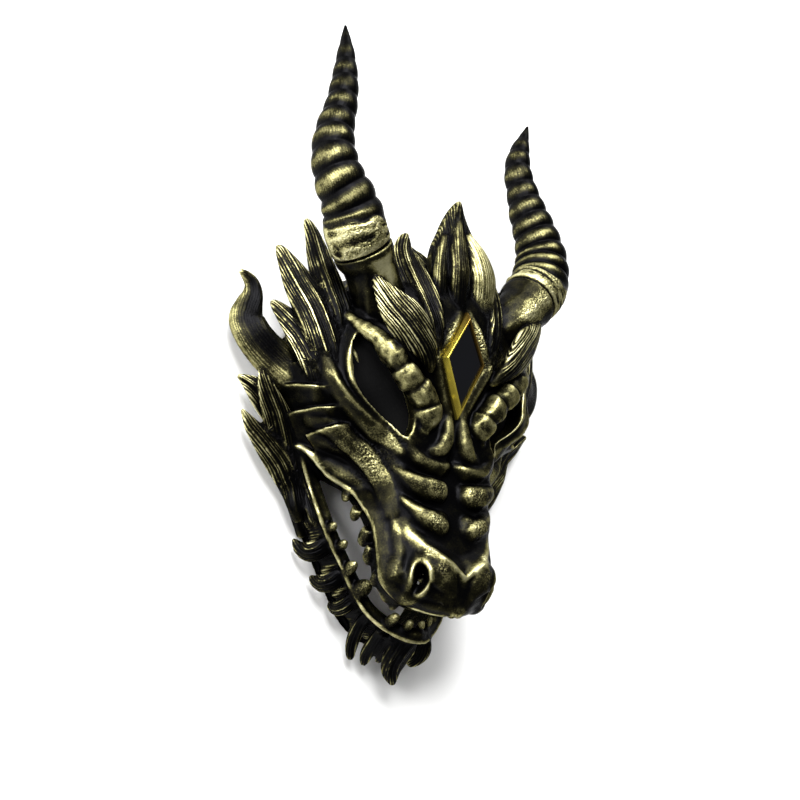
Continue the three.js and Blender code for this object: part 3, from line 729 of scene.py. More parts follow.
def browLine():
    # each knuckle starts with a step up from the last, is fullest soon after and thins out to the next one
    path = smoothPath(brow["line"], 200)
    joints = [int(np.argmin(np.linalg.norm(path[:, :3] - joint, axis=1))) for joint in brow["joints"]]
    for first, last in zip(joints, joints[1:]):
        off = np.linspace(0, 1, last - first, endpoint=False) - brow["fullest"]
        full = 1 - (off / (1 - brow["fullest"])) ** 2
        path[first:last, 3] *= brow["thinnest"] + brow["swell"] * full
    return [tuple(p) for p in path]


def addTube(points, sides=20, rings=None, squash=1.0, outward=(0, 0, 1), rough=0.0, **layers):
    rings = rings or max(8, 5 * len(points))
    path = smoothPath(points, rings)
    side, up = pathFrame(path, outward)
    bm, ring, angle = newTube(rings, sides)
    radius = np.maximum(path[ring, 3], 0.3)[:, None]
    offset = side[ring] * np.cos(angle)[:, None] + up[ring] * np.sin(angle)[:, None] * squash
    surface = path[ring, :3] + offset * radius
    uneven = rough * (lumps(surface, 2.5) + 2 * lumps(surface, 7, 1))
    writePoints(bm, outOfHollow(surface + offset * uneven[:, None]))
    addPart(bm, **layers)


for mirror in (list, flip):
    addTube(mirror(browLine()), sides=48, rings=160, rough=0.5, gilt=brow["gilt"])
    addTube(mirror(brow["prong"]), sides=12, rings=16)

# Bead on the upper lip: the y where it sets in and where it is full, and how far it lies in and down
lipBead = {
    "from": -1, "fullBy": -12, "thinnest": 0.3, "swell": 1.7, "inward": 0.6, "down": 0.4,
    "tipHeight": 75.5, "tipRadius": 1.6, "gilt": 0.5,
}


def makeUpperLip():
    y = np.linspace(lipBead["from"], face["tipY"] + 0.2, 40)
    half = faceHalf(y)
    radius = lipBead["swell"] * smoothStep(y, lipBead["from"], lipBead["fullBy"]) + lipBead["thinnest"]
    right = list(zip(-half + lipBead["inward"], y, faceHeight(half, y) - lipBead["down"], radius))
    tip = (0, face["tipY"], lipBead["tipHeight"], lipBead["tipRadius"])
    addTube([*right, tip, *flip(right)[::-1]], sides=12, rings=260, rough=0.2, gilt=lipBead["gilt"])


makeUpperLip()
print("brow and lip made")

# Jaw: a band under the lower lip, with strands along its rear half and upright flutes round its front
jaw = {
    "lip": [(79, 24, 15), (78, 14, 18), (76, 4, 20.5), (74, -4, 22), (71, -12, 22), (68.5, -21, 22),
            (62.5, -35, 23), (57, -46, 24), (52.5, -54, 24), (45.5, -65.5, 24.5), (39.5, -76, 26),
            (33.5, -84.5, 26), (27.5, -94, 28.5), (21, -100.6, 32), (13.3, -105.7, 36),
            (6.5, -108.6, 39.5)],
    "middle": (0, -109.3, 41), "rings": 420, "sides": 72,
    "wall": 8, "taper": 3, "belly": 2.5, "lipRound": 2.2,
    # the section goes up the outside, over the lip, down the inside and across the rim
    "turnsAt": (0, 0.44, 0.5, 0.94, 1), "up": (0, 1, 1, 0, 0), "across": (0, 0, 1, 1, 0),
    "strands": 4, "slant": 0.02, "fluteWidth": 9, "carve": 2.2, "rearFrom": (-60, -35), "hair": 0.8,
    # how far the flutes sway along the jaw, over what length, and how much they lean for their height
    "sway": 2.2, "swayLength": 9, "lean": 0.25,
    "bead": 1.3, "beadRise": 0.6, "beadGilt": 0.1, "tall": 30,
}


def makeJaw():
    lip = [*jaw["lip"], jaw["middle"], *flip(jaw["lip"])[::-1]]
    path = smoothPath(lip, jaw["rings"])
    bm, ring, angle = newTube(jaw["rings"], jaw["sides"])
    along = np.gradient(path, axis=0)
    inward = np.stack([along[:, 1], -along[:, 0], 0 * along[:, 0]], 1)
    inward /= np.linalg.norm(inward, axis=1)[:, None]
    s = (angle / (2 * np.pi)) % 1
    up = np.interp(s, jaw["turnsAt"], jaw["up"])
    across = np.interp(s, jaw["turnsAt"], jaw["across"])
    centre = path[ring]
    length = np.concatenate([[0], np.cumsum(np.linalg.norm(np.diff(path, axis=0), axis=1))])[ring]
    isOuter = (s < jaw["turnsAt"][1]) & (up > 0.01)
    rear = smoothStep(centre[:, 1], *jaw["rearFrom"])
    sway = jaw["sway"] * np.sin(length / jaw["swayLength"]) + jaw["lean"] * centre[:, 2] * (1 - up)
    strands = np.abs(np.sin(np.pi * (up * jaw["strands"] + jaw["slant"] * length))) * rear
    flutes = np.abs(np.sin(np.pi * (length + sway) / jaw["fluteWidth"])) * (1 - rear)
    fade = np.clip(up * 6, 0, 1) * np.clip((1 - up) * 8, 0, 1)
    belly = np.sin(np.pi * np.clip(up, 0, 1)) * jaw["belly"]
    out = np.where(isOuter, belly - jaw["carve"] * (strands + flutes) * fade, 0)
    inset = across * jaw["wall"] - out + isOuter * jaw["taper"] * (1 - smoothStep(up, 0.05, 0.4))
    points = centre + inward[ring] * inset[:, None]
    points[:, 2] = centre[:, 2] * up + np.sin(np.pi * across) * jaw["lipRound"] * (up > 0.99)
    writePoints(bm, points)
    height = up * jaw["tall"]
    addPart(bm, strandAcross=np.where(rear > 0.5, height, length), hair=np.where(isOuter, jaw["hair"], 0.0),
            strandAlong=np.where(rear > 0.5, length, height))
    bead = [(x, y, z + jaw["beadRise"], jaw["bead"]) for x, y, z in lip]
    addTube(bead, sides=12, rings=260, rough=0.2, gilt=jaw["beadGilt"])


makeJaw()

# Beard: claws that hang from the jaw and curl outwards, right side, and one broad lock under the chin
beard = {
    "first": {
        "line": [(-50, -57.5, 22, 4.5, 6), (-53, -61.5, 18, 6, 7), (-56.5, -63, 13, 6, 7),
                 (-59, -61, 9, 4.5, 6), (-61, -58, 7, 2.6, 4.5), (-62.4, -55.5, 6, 1, 2.4)],
        "flutes": 3,
    },
    "second": {
        "line": [(-40, -74, 23, 4.5, 6), (-43.5, -78.5, 18, 6, 7), (-46.5, -79.5, 13, 5.5, 7),
                 (-48.5, -77.5, 9, 3.6, 5.5), (-50.5, -75, 7, 1, 2.4)],
        "flutes": 3,
    },
    "third": {
        "line": [(-30, -86, 24, 4, 6), (-33.5, -91, 18, 5, 7), (-35.5, -92.5, 13, 4.5, 6.5),
                 (-36, -90.5, 9, 3, 5), (-36.5, -88, 7.5, 1, 2.4)],
        "flutes": 2,
    },
    "fourth": {
        "line": [(-24, -96, 27, 3, 5), (-24, -101.5, 20, 4, 6), (-22.6, -107, 14, 4, 6),
                 (-21, -113, 9.5, 3.4, 5.5), (-19.8, -118, 7.5, 2.2, 4), (-19.6, -119.5, 7, 1, 2.4)],
        "flutes": 1,
    },
    "fifth": {
        "line": [(-17, -104, 31, 3, 5), (-15, -110, 22, 4, 6), (-13.4, -115, 15, 4, 6),
                 (-12.2, -119, 11, 3, 5), (-11.7, -122, 9, 1.4, 3)],
        "flutes": 1,
    },
    "sixth": {
        "line": [(-10.5, -107.5, 34, 3, 5), (-8.5, -112.5, 25, 3.6, 6), (-6, -116.5, 18, 3.4, 5.5),
                 (-4.6, -120, 13, 1.4, 3)],
        "flutes": 1,
    },
}
chinLock = {
    "line": [(-2, -107, 38, 6, 7), (-2.5, -112.5, 33, 8, 9), (-2, -118.5, 26, 8, 9),
             (0, -124.5, 20.5, 6, 8), (2.6, -129, 18, 3.6, 6), (4.4, -132, 17, 1.4, 3)],
    "flutes": 3,
}
chinSide = {
    "line": [(9, -104, 36, 4, 6), (11, -108.5, 33, 6, 8), (12.5, -113.5, 30, 6.5, 8),
             (11.5, -117.5, 27, 5, 7), (9, -121, 24, 2, 4)],
    "flutes": 1,
}
beardShape = {"outward": (-0.5, -0.55, 0.67), "chinOutward": (-0.2, -0.6, 0.77), "gilt": -0.3}
for spec in beard.values():
    for mirrored in (False, True):
        addLock({**spec, "gilt": beardShape["gilt"]}, mirrored, beardShape["outward"])
for spec in (chinLock, chinSide):
    addLock({**spec, "gilt": beardShape["gilt"]}, False, beardShape["chinOutward"])
print("jaw made")

# Teeth: root and tip of each, and its radius. Those of the right side have twins on the left.
teeth = {
    "right": [
        ((-50.4, -29.8, 38.6), (-48.4, -35.8, 33), 3.0), ((-46, -40.3, 42.7), (-43.8, -46.2, 36), 3.0),
        ((-40.9, -51.3, 46.9), (-39.4, -60.5, 40), 3.8), ((-38.6, -60.8, 48.7), (-37.2, -70.5, 41.5), 3.6),
        ((-36.4, -76, 51.7), (-33.6, -81.5, 44), 3.0), ((-22.4, -89.9, 50), (-20.9, -93.2, 43.5), 2.6),
        ((-50.5, -51, 21), (-52.5, -48.2, 32), 2.8), ((-43.5, -61, 22), (-45.5, -57.5, 33), 2.6),
        ((-38, -74, 23), (-39.5, -68.8, 35), 3.4), ((-30, -84.5, 24), (-31, -78.5, 36.5), 4.8),
    ],
    "front": [
        ((-14.5, -101, 33), (-16.4, -95.8, 45), 3.3), ((-5.5, -103, 37), (-9, -99, 48), 2.6),
        ((4.5, -102.5, 38), (0.5, -98, 47), 2.1), ((11.5, -99.5, 35), (8, -94.5, 45), 2.1),
    ],
    # shares of the length and of the radius, from the root to the blunt tip
    "shape": ((0, 0.99), (0.35, 1.1), (0.7, 0.946), (0.92, 0.55), (1.0, 0.165)),
    "gilt": -0.28, "grain": 0.5,
}


def addTooth(root, tip, radius):
    root, tip = np.array(root, float), np.array(tip, float)
    line = [(*(root + (tip - root) * k), radius * w) for k, w in teeth["shape"]]
    addTube(line, sides=18, rings=18, outward=(0.2, 1, 0), rough=0.3,
            gilt=teeth["gilt"], grain=teeth["grain"])


for root, tip, radius in teeth["right"]:
    addTooth(root, tip, radius)
    addTooth(*flip((root, tip)), radius)
for tooth in teeth["front"]:
    addTooth(*tooth)

# Collars that the horns stand on, with a thin lip at the seam
horns = {
    # the value after the ribs is the strength of each collar's painted highlight, the next how grainy it is
    # there
    "right": {
        "collar": (-38, 66, 50),
        "line": [(-65, 101, 62, 17), (-71, 108, 64, 17.5), (-75, 118, 65, 17), (-79, 125, 66, 15.6),
                 (-86, 136, 66, 14), (-90, 150, 65, 12.4), (-88, 166, 63, 10.6), (-84, 181, 62, 9),
                 (-81, 197, 60, 7.6), (-79, 217, 57, 4.6), (-78, 233, 54, 0.8)],
        "ribs": 12.5, "collarHighlight": 0.75, "collarGrain": 0,
    },
    "left": {
        "collar": (34, 66, 54),
        "line": [(60, 97, 62, 17), (70, 108, 60, 17.5), (76, 127, 56, 15.6), (74, 143, 53, 13.4),
                 (70, 157, 50, 11.6), (67, 172, 47, 9.4), (65, 185, 45, 8.2), (68, 198, 43, 6.4),
                 (76, 218, 41, 0.8)],
        "ribs": 12.5, "collarHighlight": 0.35, "collarGrain": 0.8,
    },
}
# How long the collar runs straight into the horn, the gap at the seam, and its girth from foot to seam
collarShape = {
    "rings": 60, "sides": 72, "straight": 12, "gap": 0.3,
    "at": (0, 0.5, 0.78, 0.9, 1), "girth": (0.95, 0.86, 0.88, 1.0, 1.02),
    # how often the skin folds round the collar, how deep as a share of its girth, and how far a fold turns
    "folds": ((7, 0.035, 4), (13, 0.025, 9)),
    # the way the collar's painted highlight faces, and the gold taken off the end at the seam
    "litFrom": (-0.06, -0.15, 0.98), "seamGilt": -0.25,
}


def addCollar(spec):
    (*seam, girth), ahead = spec["line"][0], spec["line"][1][:3]
    seam, lead = np.array(seam), np.subtract(ahead, seam)
    lead = lead / np.linalg.norm(lead)
    line = [spec["collar"], *(seam - back * lead for back in (collarShape["straight"], collarShape["gap"]))]
    path = smoothPath(line, collarShape["rings"])
    side, up = pathFrame(path, (0, 0, 1))
    bm, ring, angle = newTube(collarShape["rings"], collarShape["sides"])
    t = ring / (collarShape["rings"] - 1)
    waves = (depth * np.sin(count * angle + turn * t) for count, depth, turn in collarShape["folds"])
    radius = girth * np.interp(t, collarShape["at"], collarShape["girth"]) * (1 + sum(waves) * (1 - t))
    around = side[ring] * np.cos(angle)[:, None] + up[ring] * np.sin(angle)[:, None]
    writePoints(bm, outOfHollow(path[ring] + around * radius[:, None]))
    # painted highlight: gold, with specks of grain, on the side of the collar that faces litFrom, from
    # mid-length to near the seam
    lit = smoothStep(around @ np.array(collarShape["litFrom"]), 0.75, 0.98) * smoothStep(t, 0.35, 0.65)
    gilt = spec["collarHighlight"] * lit * (1 - smoothStep(t, 0.86, 0.95))
    gilt += collarShape["seamGilt"] * smoothStep(t, 0.9, 0.97)
    addPart(bm, gilt=gilt, grain=spec["collarGrain"] * lit)


for spec in horns.values():
    addCollar(spec)
print("teeth and collars made")


# The parts are fused into one casting, which is smoothed and thinned to the triangles that it may have
casting = {"voxel": 0.75, "smoothing": 3, "triangles": 190000}


def meshPoints(mesh):
    points = np.zeros(len(mesh.vertices) * 3, np.float32)
    mesh.vertices.foreach_get("co", points)
    return points.reshape(-1, 3).astype(float)


def spreadOut(points, edges, rounds, factor=0.5):
    # evens each value with its neighbours' mean, a number of times
    degree = np.bincount(edges.ravel(), minlength=len(points)).astype(float)
    degree[degree == 0] = 1
    for _ in range(rounds):
        total = np.stack([
            np.bincount(edges[:, 0], column[edges[:, 1]], len(points))
            + np.bincount(edges[:, 1], column[edges[:, 0]], len(points)) for column in points.T], 1)
        points = points + factor * (total / degree[:, None] - points)
    return points


def meshEdges(mesh):
    edges = np.zeros(len(mesh.edges) * 2, np.int32)
    mesh.edges.foreach_get("vertices", edges)
    return edges.reshape(-1, 2)


def meshNormals(mesh):
    normals = np.zeros(len(mesh.vertices) * 3, np.float32)
    mesh.vertices.foreach_get("normal", normals)
    return normals.reshape(-1, 3).astype(float)


def storeLayer(mesh, name, values):
    layer = mesh.attributes.get(name) or mesh.attributes.new(name, "FLOAT", "POINT")
    layer.data.foreach_set("value", np.asarray(values, np.float32))


def readLayer(mesh, name):
    values = np.zeros(len(mesh.vertices), np.float32)
    mesh.attributes[name].data.foreach_get("value", values)
    return values


def markRelief(mesh):
    # how far each vertex stands out of its surroundings, in mm, close by and over a wider reach
    points, edges, normals = meshPoints(mesh), meshEdges(mesh), meshNormals(mesh)
    near = spreadOut(points, edges, 5)
    wide = spreadOut(near, edges, 45)
    storeLayer(mesh, "edgeNear", ((points - near) * normals).sum(1))
    storeLayer(mesh, "edgeWide", ((points - wide) * normals).sum(1))


def carryLayers(source, target, names):
    # each vertex of the target takes the values of the nearest vertices of the source
    points = meshPoints(source)
    tree = kdtree.KDTree(len(points))
    for i, p in enumerate(points):
        tree.insert(p, i)
    tree.balance()
    found = [tree.find_n(p, 3) for p in meshPoints(target)]
    nearest = np.array([[hit[1] for hit in hits] for hits in found])
    weight = 1 / (np.array([[hit[2] for hit in hits] for hits in found]) + 0.05) ** 2
    weight /= weight.sum(1)[:, None]
    for name in names:
        storeLayer(target, name, (readLayer(source, name)[nearest] * weight).sum(1))


def shadeSmooth(mesh):
    mesh.polygons.foreach_set("use_smooth", [True] * len(mesh.polygons))
    mesh.update()


def thin(piece, triangles):
    count = sum(len(p.vertices) - 2 for p in piece.data.polygons)
    if count > triangles:
        fewer = piece.modifiers.new("thin", "DECIMATE")
        fewer.ratio = triangles / count
        applied(piece)


# The cheeks are drawn in and down between these heights: by how many mm, and the way on the left side
cheeks = {
    "by": 12, "x": (30, 50), "below": (-44, -28), "above": (-5, 30), "z": (6, 28),
    "way": (-0.608, 0.228, -0.761),
}


def drawnIn(points):
    x, y, z = points.T
    across = smoothStep(np.abs(x), *cheeks["x"]) * smoothStep(z, *cheeks["z"])
    along = smoothStep(y, *cheeks["below"]) * (1 - smoothStep(y, *cheeks["above"]))
    moved = cheeks["by"] * across * along
    inward, up, down = cheeks["way"]
    return np.stack([x + np.sign(x) * inward * moved, y + up * moved, z + down * moved], 1)


def place(piece):
    points = drawnIn(meshPoints(piece.data))
    piece.data.vertices.foreach_set("co", points.astype(np.float32).ravel())
    piece.data.transform(toFrame)
    shadeSmooth(piece.data)


def fuseCasting():
    joined = bmesh.new()
    for mesh in castParts:
        joined.from_mesh(mesh)
    piece = newPiece("dragonFace", joined)
    source = piece.data.copy()
    fuse = piece.modifiers.new("fuse", "REMESH")
    fuse.mode = "VOXEL"
    fuse.voxel_size = casting["voxel"]
    applied(piece)
    print("fused:", len(piece.data.vertices), "points")
    mesh = piece.data
    points = spreadOut(meshPoints(mesh), meshEdges(mesh), casting["smoothing"])
    points[:, 2] = np.maximum(points[:, 2], 0)
    mesh.vertices.foreach_set("co", points.astype(np.float32).ravel())
    mesh.update()
    markRelief(mesh)
    fine = mesh.copy()
    thin(piece, casting["triangles"])
    carryLayers(fine, piece.data, ("edgeNear", "edgeWide"))
    carryLayers(source, piece.data, layerNames)
    print("casting:", len(piece.data.polygons), "faces")
    return piece


shell = fuseCasting()
place(shell)
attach(shell, "root")
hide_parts("mask_shell")


# Horns: round ribs that slant, close up towards the tip and flatten there, over a knobbly patch at the foot.
# The patch ends at a share of the length and faces one way; the gold on the ribs is a painted highlight on
# the side that faces another way, and the rest of the ribs is left dark as painted shade.
hornShape = {
    "rings": 260, "sides": 96, "ribDepth": 0.1, "closeUp": 0.92, "ribSlant": (0.2, 1.2), "hair": 0.12,
    "smoothTip": (0.7, 0.88),
    "patch": 0.13, "patchFaces": (-0.61, -0.23, 0.76), "patchRise": 0.5, "patchGrain": 0.6,
    "veinRise": 0.4, "veinSizes": (3.4, 2.6), "ribsLitFrom": (-0.89, -0.22, 0.4), "foot": 1.5,
}


def makeHorn(name, spec):
    rings, sides = hornShape["rings"], hornShape["sides"]
    path = smoothPath(spec["line"], rings)
    side, up = pathFrame(path, (0, 0, 1))
    bm, ring, angle = newTube(rings, sides)
    t = ring / (rings - 1)
    slant, slantFrom = hornShape["ribSlant"]
    phase = spec["ribs"] * t ** hornShape["closeUp"] - slant * np.cos(angle - slantFrom) * (1 - t)
    swell = np.abs(np.cos(np.pi * phase)) ** 0.8
    end, (smoothed, smoothFrom) = hornShape["patch"], hornShape["smoothTip"]
    ribbed = smoothStep(t, end - 0.02, end + 0.05) * (1 - smoothed * smoothStep(t, smoothFrom, 1))
    radius = path[ring, 3] * (1 + hornShape["ribDepth"] * (swell - 0.6) * ribbed)
    around = side[ring] * np.cos(angle)[:, None] + up[ring] * np.sin(angle)[:, None]
    points = path[ring, :3] + around * radius[:, None]
    patch = 1 - smoothStep(t + 0.02 * lumps(points, 8, 3), end - 0.035, end - 0.015)
    patch *= smoothStep(t, 0.0, 0.03) * smoothStep(around @ np.array(hornShape["patchFaces"]), -0.2, 0.4)
    # painted highlight: the ribs take gold where they face ribsLitFrom, and stay dark on the far side as
    # painted shade
    lit = smoothStep(around @ np.array(hornShape["ribsLitFrom"]), -0.1, 0.6)
    # veins of the patch run round the horn; the turn counts from its underside
    turned = (angle + np.pi / 2) % (2 * np.pi)
    unrolled = np.stack([0.4 * turned * radius, t * 150, 0 * t], 1)
    coarse, fine = (np.abs(lumps(unrolled, size, seed)) for size, seed in zip(hornShape["veinSizes"], (1, 5)))
    veins = np.maximum(1 - 3 * np.minimum(coarse, fine + 0.1), -0.5)
    points += around * (patch * (hornShape["patchRise"] + hornShape["veinRise"] * veins))[:, None]
    points -= around * ((t < 0.012) * hornShape["foot"])[:, None]
    writePoints(bm, points)
    bmesh.ops.recalc_face_normals(bm, faces=bm.faces)
    piece = newPiece(name, bm)
    markRelief(piece.data)
    length = np.linalg.norm(np.diff(path[:, :3], axis=0), axis=1).sum()
    values = {
        "strandAcross": angle * radius, "strandAlong": t * length, "hair": hornShape["hair"] * (1 - patch),
        # the patch's veins are gilded; on the ribs the gold is the painted highlight and the darkening is
        # painted shade
        "gilt": patch * (0.25 * veins - 0.08) + (0.5 * lit * swell ** 2 - 0.4) * (1 - patch),
        "grain": hornShape["patchGrain"] * patch,
    }
    for layer, value in values.items():
        storeLayer(piece.data, layer, value)
    place(piece)
    return piece


for sideName, spec in horns.items():
    horn = makeHorn("horn" + sideName.capitalize(), spec)
    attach(horn, "root")
    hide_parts("horn_" + sideName)
print("horns made")


def makeStone():
    bm = bmesh.new()
    inset, top = stone["bevel"] + stone["rim"] + stone["gap"], stone["proud"] - stone["sunk"]
    sloped, lowered = stone["facet"]
    loops = prism(bm, (inset, inset, inset + sloped), (-stone["seat"], top - lowered, top))
    bm.faces.new(loops[0])
    bm.faces.new(loops[2])
    bmesh.ops.recalc_face_normals(bm, faces=bm.faces)
    bmesh.ops.bevel(bm, geom=bm.edges[:], offset=stone["stoneRound"], affect="EDGES", segments=2, profile=0.5)
    bmesh.ops.transform(bm, matrix=toFrame @ stoneTurn, verts=bm.verts)
    return newPiece("browStone", bm)


def makeStoneFrame():
    bm = bmesh.new()
    outer, inner = stone["bevel"], stone["bevel"] + stone["rim"]
    seat, rim = -stone["seat"], stone["proud"]
    loops = prism(bm, (0, 0, outer, inner, inner), (seat, stone["edge"], rim, rim, seat))
    for i in range(4):
        bm.faces.new((loops[4][i], loops[4][(i + 1) % 4], loops[0][(i + 1) % 4], loops[0][i]))
    bmesh.ops.recalc_face_normals(bm, faces=bm.faces)
    bmesh.ops.bevel(bm, geom=bm.edges[:], offset=stone["frameRound"], affect="EDGES", segments=2, profile=0.5)
    bmesh.ops.transform(bm, matrix=toFrame @ stoneTurn, verts=bm.verts)
    return newPiece("browStoneFrame", bm)


browStone, browStoneFrame = makeStone(), makeStoneFrame()
# painted highlight: the frame's lacquer is bright where it lies low in x and y, and dull elsewhere as painted
# shade
framePoints = meshPoints(browStoneFrame.data)
shine = 1 - smoothStep(framePoints[:, 1], *stone["shineY"])
storeLayer(browStoneFrame.data, "gilt", shine * (1 - smoothStep(framePoints[:, 0], *stone["shineX"])))
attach(browStone, "root")
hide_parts("brow_stone")
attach(browStoneFrame, "root")
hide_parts("brow_stone_frame")
print("brow stone made")

# Eye screens: thin cloth behind the openings, a little slack
screen = {"margin": 6, "drop": 1.4, "thickness": 1, "cells": (40, 54)}


def makeScreen(name, s):
    low, high = np.min(face["eye"], 0) - screen["margin"], np.max(face["eye"], 0) + screen["margin"]
    bm = bmesh.new()
    bmesh.ops.create_grid(bm, x_segments=screen["cells"][0], y_segments=screen["cells"][1], size=1)
    p = readPoints(bm)
    x = s * (low[0] + (high[0] - low[0]) * (p[:, 0] * s + 1) / 2)
    y = low[1] + (high[1] - low[1]) * (p[:, 1] + 1) / 2
    half = faceHalf(y)
    z = faceHeight(x * half / (half - face["wall"]), y) - face["wall"] - screen["drop"]
    writePoints(bm, np.stack([x, y, z], 1))
    bmesh.ops.recalc_face_normals(bm, faces=bm.faces)
    bmesh.ops.solidify(bm, geom=bm.faces, thickness=screen["thickness"])
    piece = newPiece(name, bm)
    place(piece)
    return piece


for sideName, s in (("right", 1), ("left", -1)):
    piece = makeScreen("eyeScreen" + sideName.capitalize(), s)
    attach(piece, "root")
    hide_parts("eye_screen_" + sideName)
print("eye screens made")


# Materials

def linear(hexColour):
    # sRGB hex to the linear colour that shaders use
    parts = [int(hexColour[i:i + 2], 16) / 255 for i in (1, 3, 5)]
    return tuple(c / 12.92 if c <= 0.04045 else ((c + 0.055) / 1.055) ** 2.4 for c in parts) + (1,)


def newMaterial(name):
    material = bpy.data.materials.new(name)
    material.use_nodes = True
    tree = material.node_tree
    return material, tree, tree.nodes["Principled BSDF"]


def addNode(tree, kind, settings=None, inputs=None):
    # adds a node; an input given as a socket is linked, any other is set
    node = tree.nodes.new(kind)
    for key, value in (settings or {}).items():
        setattr(node, key, value)
    for key, value in (inputs or {}).items():
        if isinstance(value, bpy.types.NodeSocket):
            tree.links.new(value, node.inputs[key])
        else:
            node.inputs[key].default_value = value
    return node


paint = {
    # from bare black to gold laid on thick, and where in the gold each colour is reached
    "black": "#060607", "bronze": "#2B2919", "gold": "#8A855A", "goldBright": "#D6D1A2", "edgeTint": 0.3,
    "stops": ((0.0, "black"), (0.3, "bronze"), (0.62, "gold"), (1.0, "goldBright")),
    # sizes in millimetres; the strands' width is a share of their pitch
    "strandPitch": 1.6, "strandWidth": 0.4, "grainSize": 0.9, "brushSize": 7.0, "crackSize": 2.4,
    # how much gold close relief, wide relief, hair, specks and uneven brushing take
    "onEdges": 0.8, "onForms": 0.5, "onHair": 1.1, "onSpecks": (1.2, 0.6), "uneven": 0.7,
    "goldFrom": -0.15, "goldFull": 1.03,
    # how the strands stretch along the lock and waver, and how strongly and how high the relief stands
    "stretch": 0.04, "waver": 2.4, "relief": (0.6, 0.0008),
    # metallic of black and what gold adds, roughness of black and what gold and grain add
    "metallic": (0.85, 0.12), "rough": (0.22, 0.06, 0.2),
}


def makeFoamPaint(name):
    # black satin acrylic over moulded foam, dry-brushed with a gold metallic on all that stands out
    material, tree, shader = newMaterial(name)

    def attribute(layer):
        return addNode(tree, "ShaderNodeAttribute", {"attribute_name": layer}).outputs["Fac"]

    def maths(operation, a, b=0.0, c=0.0):
        return addNode(tree, "ShaderNodeMath", {"operation": operation}, {0: a, 1: b, 2: c}).outputs[0]

    def noise(vector, size, detail, rough):
        return addNode(tree, "ShaderNodeTexNoise", None, {
            "Vector": vector, "Scale": size, "Detail": detail, "Roughness": rough}).outputs["Fac"]

    # the stored gold holds the dry-brushed gold and, on the horns' ribs and the collars, a painted highlight
    # as well
    near, wide, gilt = attribute("edgeNear"), attribute("edgeWide"), attribute("gilt")
    grainy, hair = attribute("grain"), attribute("hair")
    position = addNode(tree, "ShaderNodeTexCoord").outputs["Object"]
    onStrand = addNode(tree, "ShaderNodeCombineXYZ", None, {
        "X": attribute("strandAcross"), "Y": maths("MULTIPLY", attribute("strandAlong"), paint["stretch"]),
        "Z": 0.0}).outputs[0]
    # thin raised strands a pitch apart, which waver and come and go
    waver = noise(onStrand, 0.5 / paint["strandPitch"], 2.0, 0.5)
    pitches = maths("DIVIDE", attribute("strandAcross"), paint["strandPitch"])
    across = maths("MULTIPLY_ADD", waver, paint["waver"], pitches)
    strands = addNode(tree, "ShaderNodeMapRange", {"interpolation_type": "SMOOTHSTEP"}, {
        "Value": maths("PINGPONG", across, 0.5), "From Min": 0.0, "From Max": paint["strandWidth"],
        "To Min": 1.0, "To Max": 0.0}).outputs[0]
    grain = noise(position, 1000 / paint["grainSize"], 3.0, 0.65)
    brush = noise(position, 1000 / paint["brushSize"], 4.0, 0.6)
    crack = addNode(tree, "ShaderNodeTexVoronoi", {"feature": "DISTANCE_TO_EDGE"}, {
        "Vector": position, "Scale": 1000 / paint["crackSize"], "Randomness": 1.0}).outputs["Distance"]

    # gold takes where the brush meets what stands out, in streaks on hair and in specks on grain
    lift = maths("MULTIPLY_ADD", near, paint["onEdges"], maths("MULTIPLY", wide, paint["onForms"]))
    strandTops = maths("MULTIPLY_ADD", strands, waver, -0.2)
    onHair = maths("MULTIPLY", strandTops, maths("MULTIPLY", hair, paint["onHair"]))
    streak = maths("MULTIPLY", onHair, maths("MULTIPLY_ADD", brush, 2.2, -0.1))
    onSpecks = maths("MULTIPLY_ADD", grainy, *paint["onSpecks"])
    speck = maths("MULTIPLY", maths("SUBTRACT", grain, 0.5), onSpecks)
    worn = maths("MULTIPLY", maths("SUBTRACT", brush, 0.5), paint["uneven"])
    amount = maths("ADD", maths("ADD", lift, gilt), maths("ADD", streak, maths("ADD", speck, worn)))
    gold = addNode(tree, "ShaderNodeMapRange", {"interpolation_type": "SMOOTHSTEP"}, {
        "Value": maths("MULTIPLY_ADD", grainy, 0.15, amount),
        "From Min": paint["goldFrom"], "From Max": paint["goldFull"]}).outputs[0]

    ramp = addNode(tree, "ShaderNodeValToRGB", None, {"Fac": gold})
    while len(ramp.color_ramp.elements) < len(paint["stops"]):
        ramp.color_ramp.elements.new(0.5)
    for element, (at, key) in zip(ramp.color_ramp.elements, paint["stops"]):
        element.position = at
        element.color = linear(paint[key])
    tree.links.new(ramp.outputs["Color"], shader.inputs["Base Color"])
    metallic, byGold = paint["metallic"]
    tree.links.new(maths("MULTIPLY_ADD", gold, byGold, metallic), shader.inputs["Metallic"])
    rough, roughByGold, roughByGrain = paint["rough"]
    uneven = maths("MULTIPLY_ADD", grain, roughByGrain, maths("MULTIPLY_ADD", gold, roughByGold, rough))
    tree.links.new(uneven, shader.inputs["Roughness"])
    shader.inputs["Specular Tint"].default_value = (*[paint["edgeTint"]] * 3, 1)

    fine = maths("MULTIPLY", strands, maths("MULTIPLY", hair, 0.6))
    cracked = maths("MULTIPLY", maths("MINIMUM", crack, 0.3), maths("MULTIPLY", grainy, 3.0))
    pitted = maths("MULTIPLY", grain, maths("MULTIPLY_ADD", grainy, 0.7, 0.3))
    height = maths("ADD", fine, maths("ADD", cracked, pitted))
    strength, high = paint["relief"]
    relief = addNode(tree, "ShaderNodeBump", None, {"Strength": strength, "Distance": high, "Height": height})
    tree.links.new(relief.outputs[0], shader.inputs["Normal"])
    return material


# a dull and a bright copy of the gold lacquer, which stand for painted shade and painted highlight on the
# frame
lacquer = {
    "paintedShade": "#6E5624", "paintedHighlight": "#F2DE58", "highlightShare": 0.9, "metallic": 0.9, "rough": (0.16, 0.34),
    "cloudSize": 11.1,
}


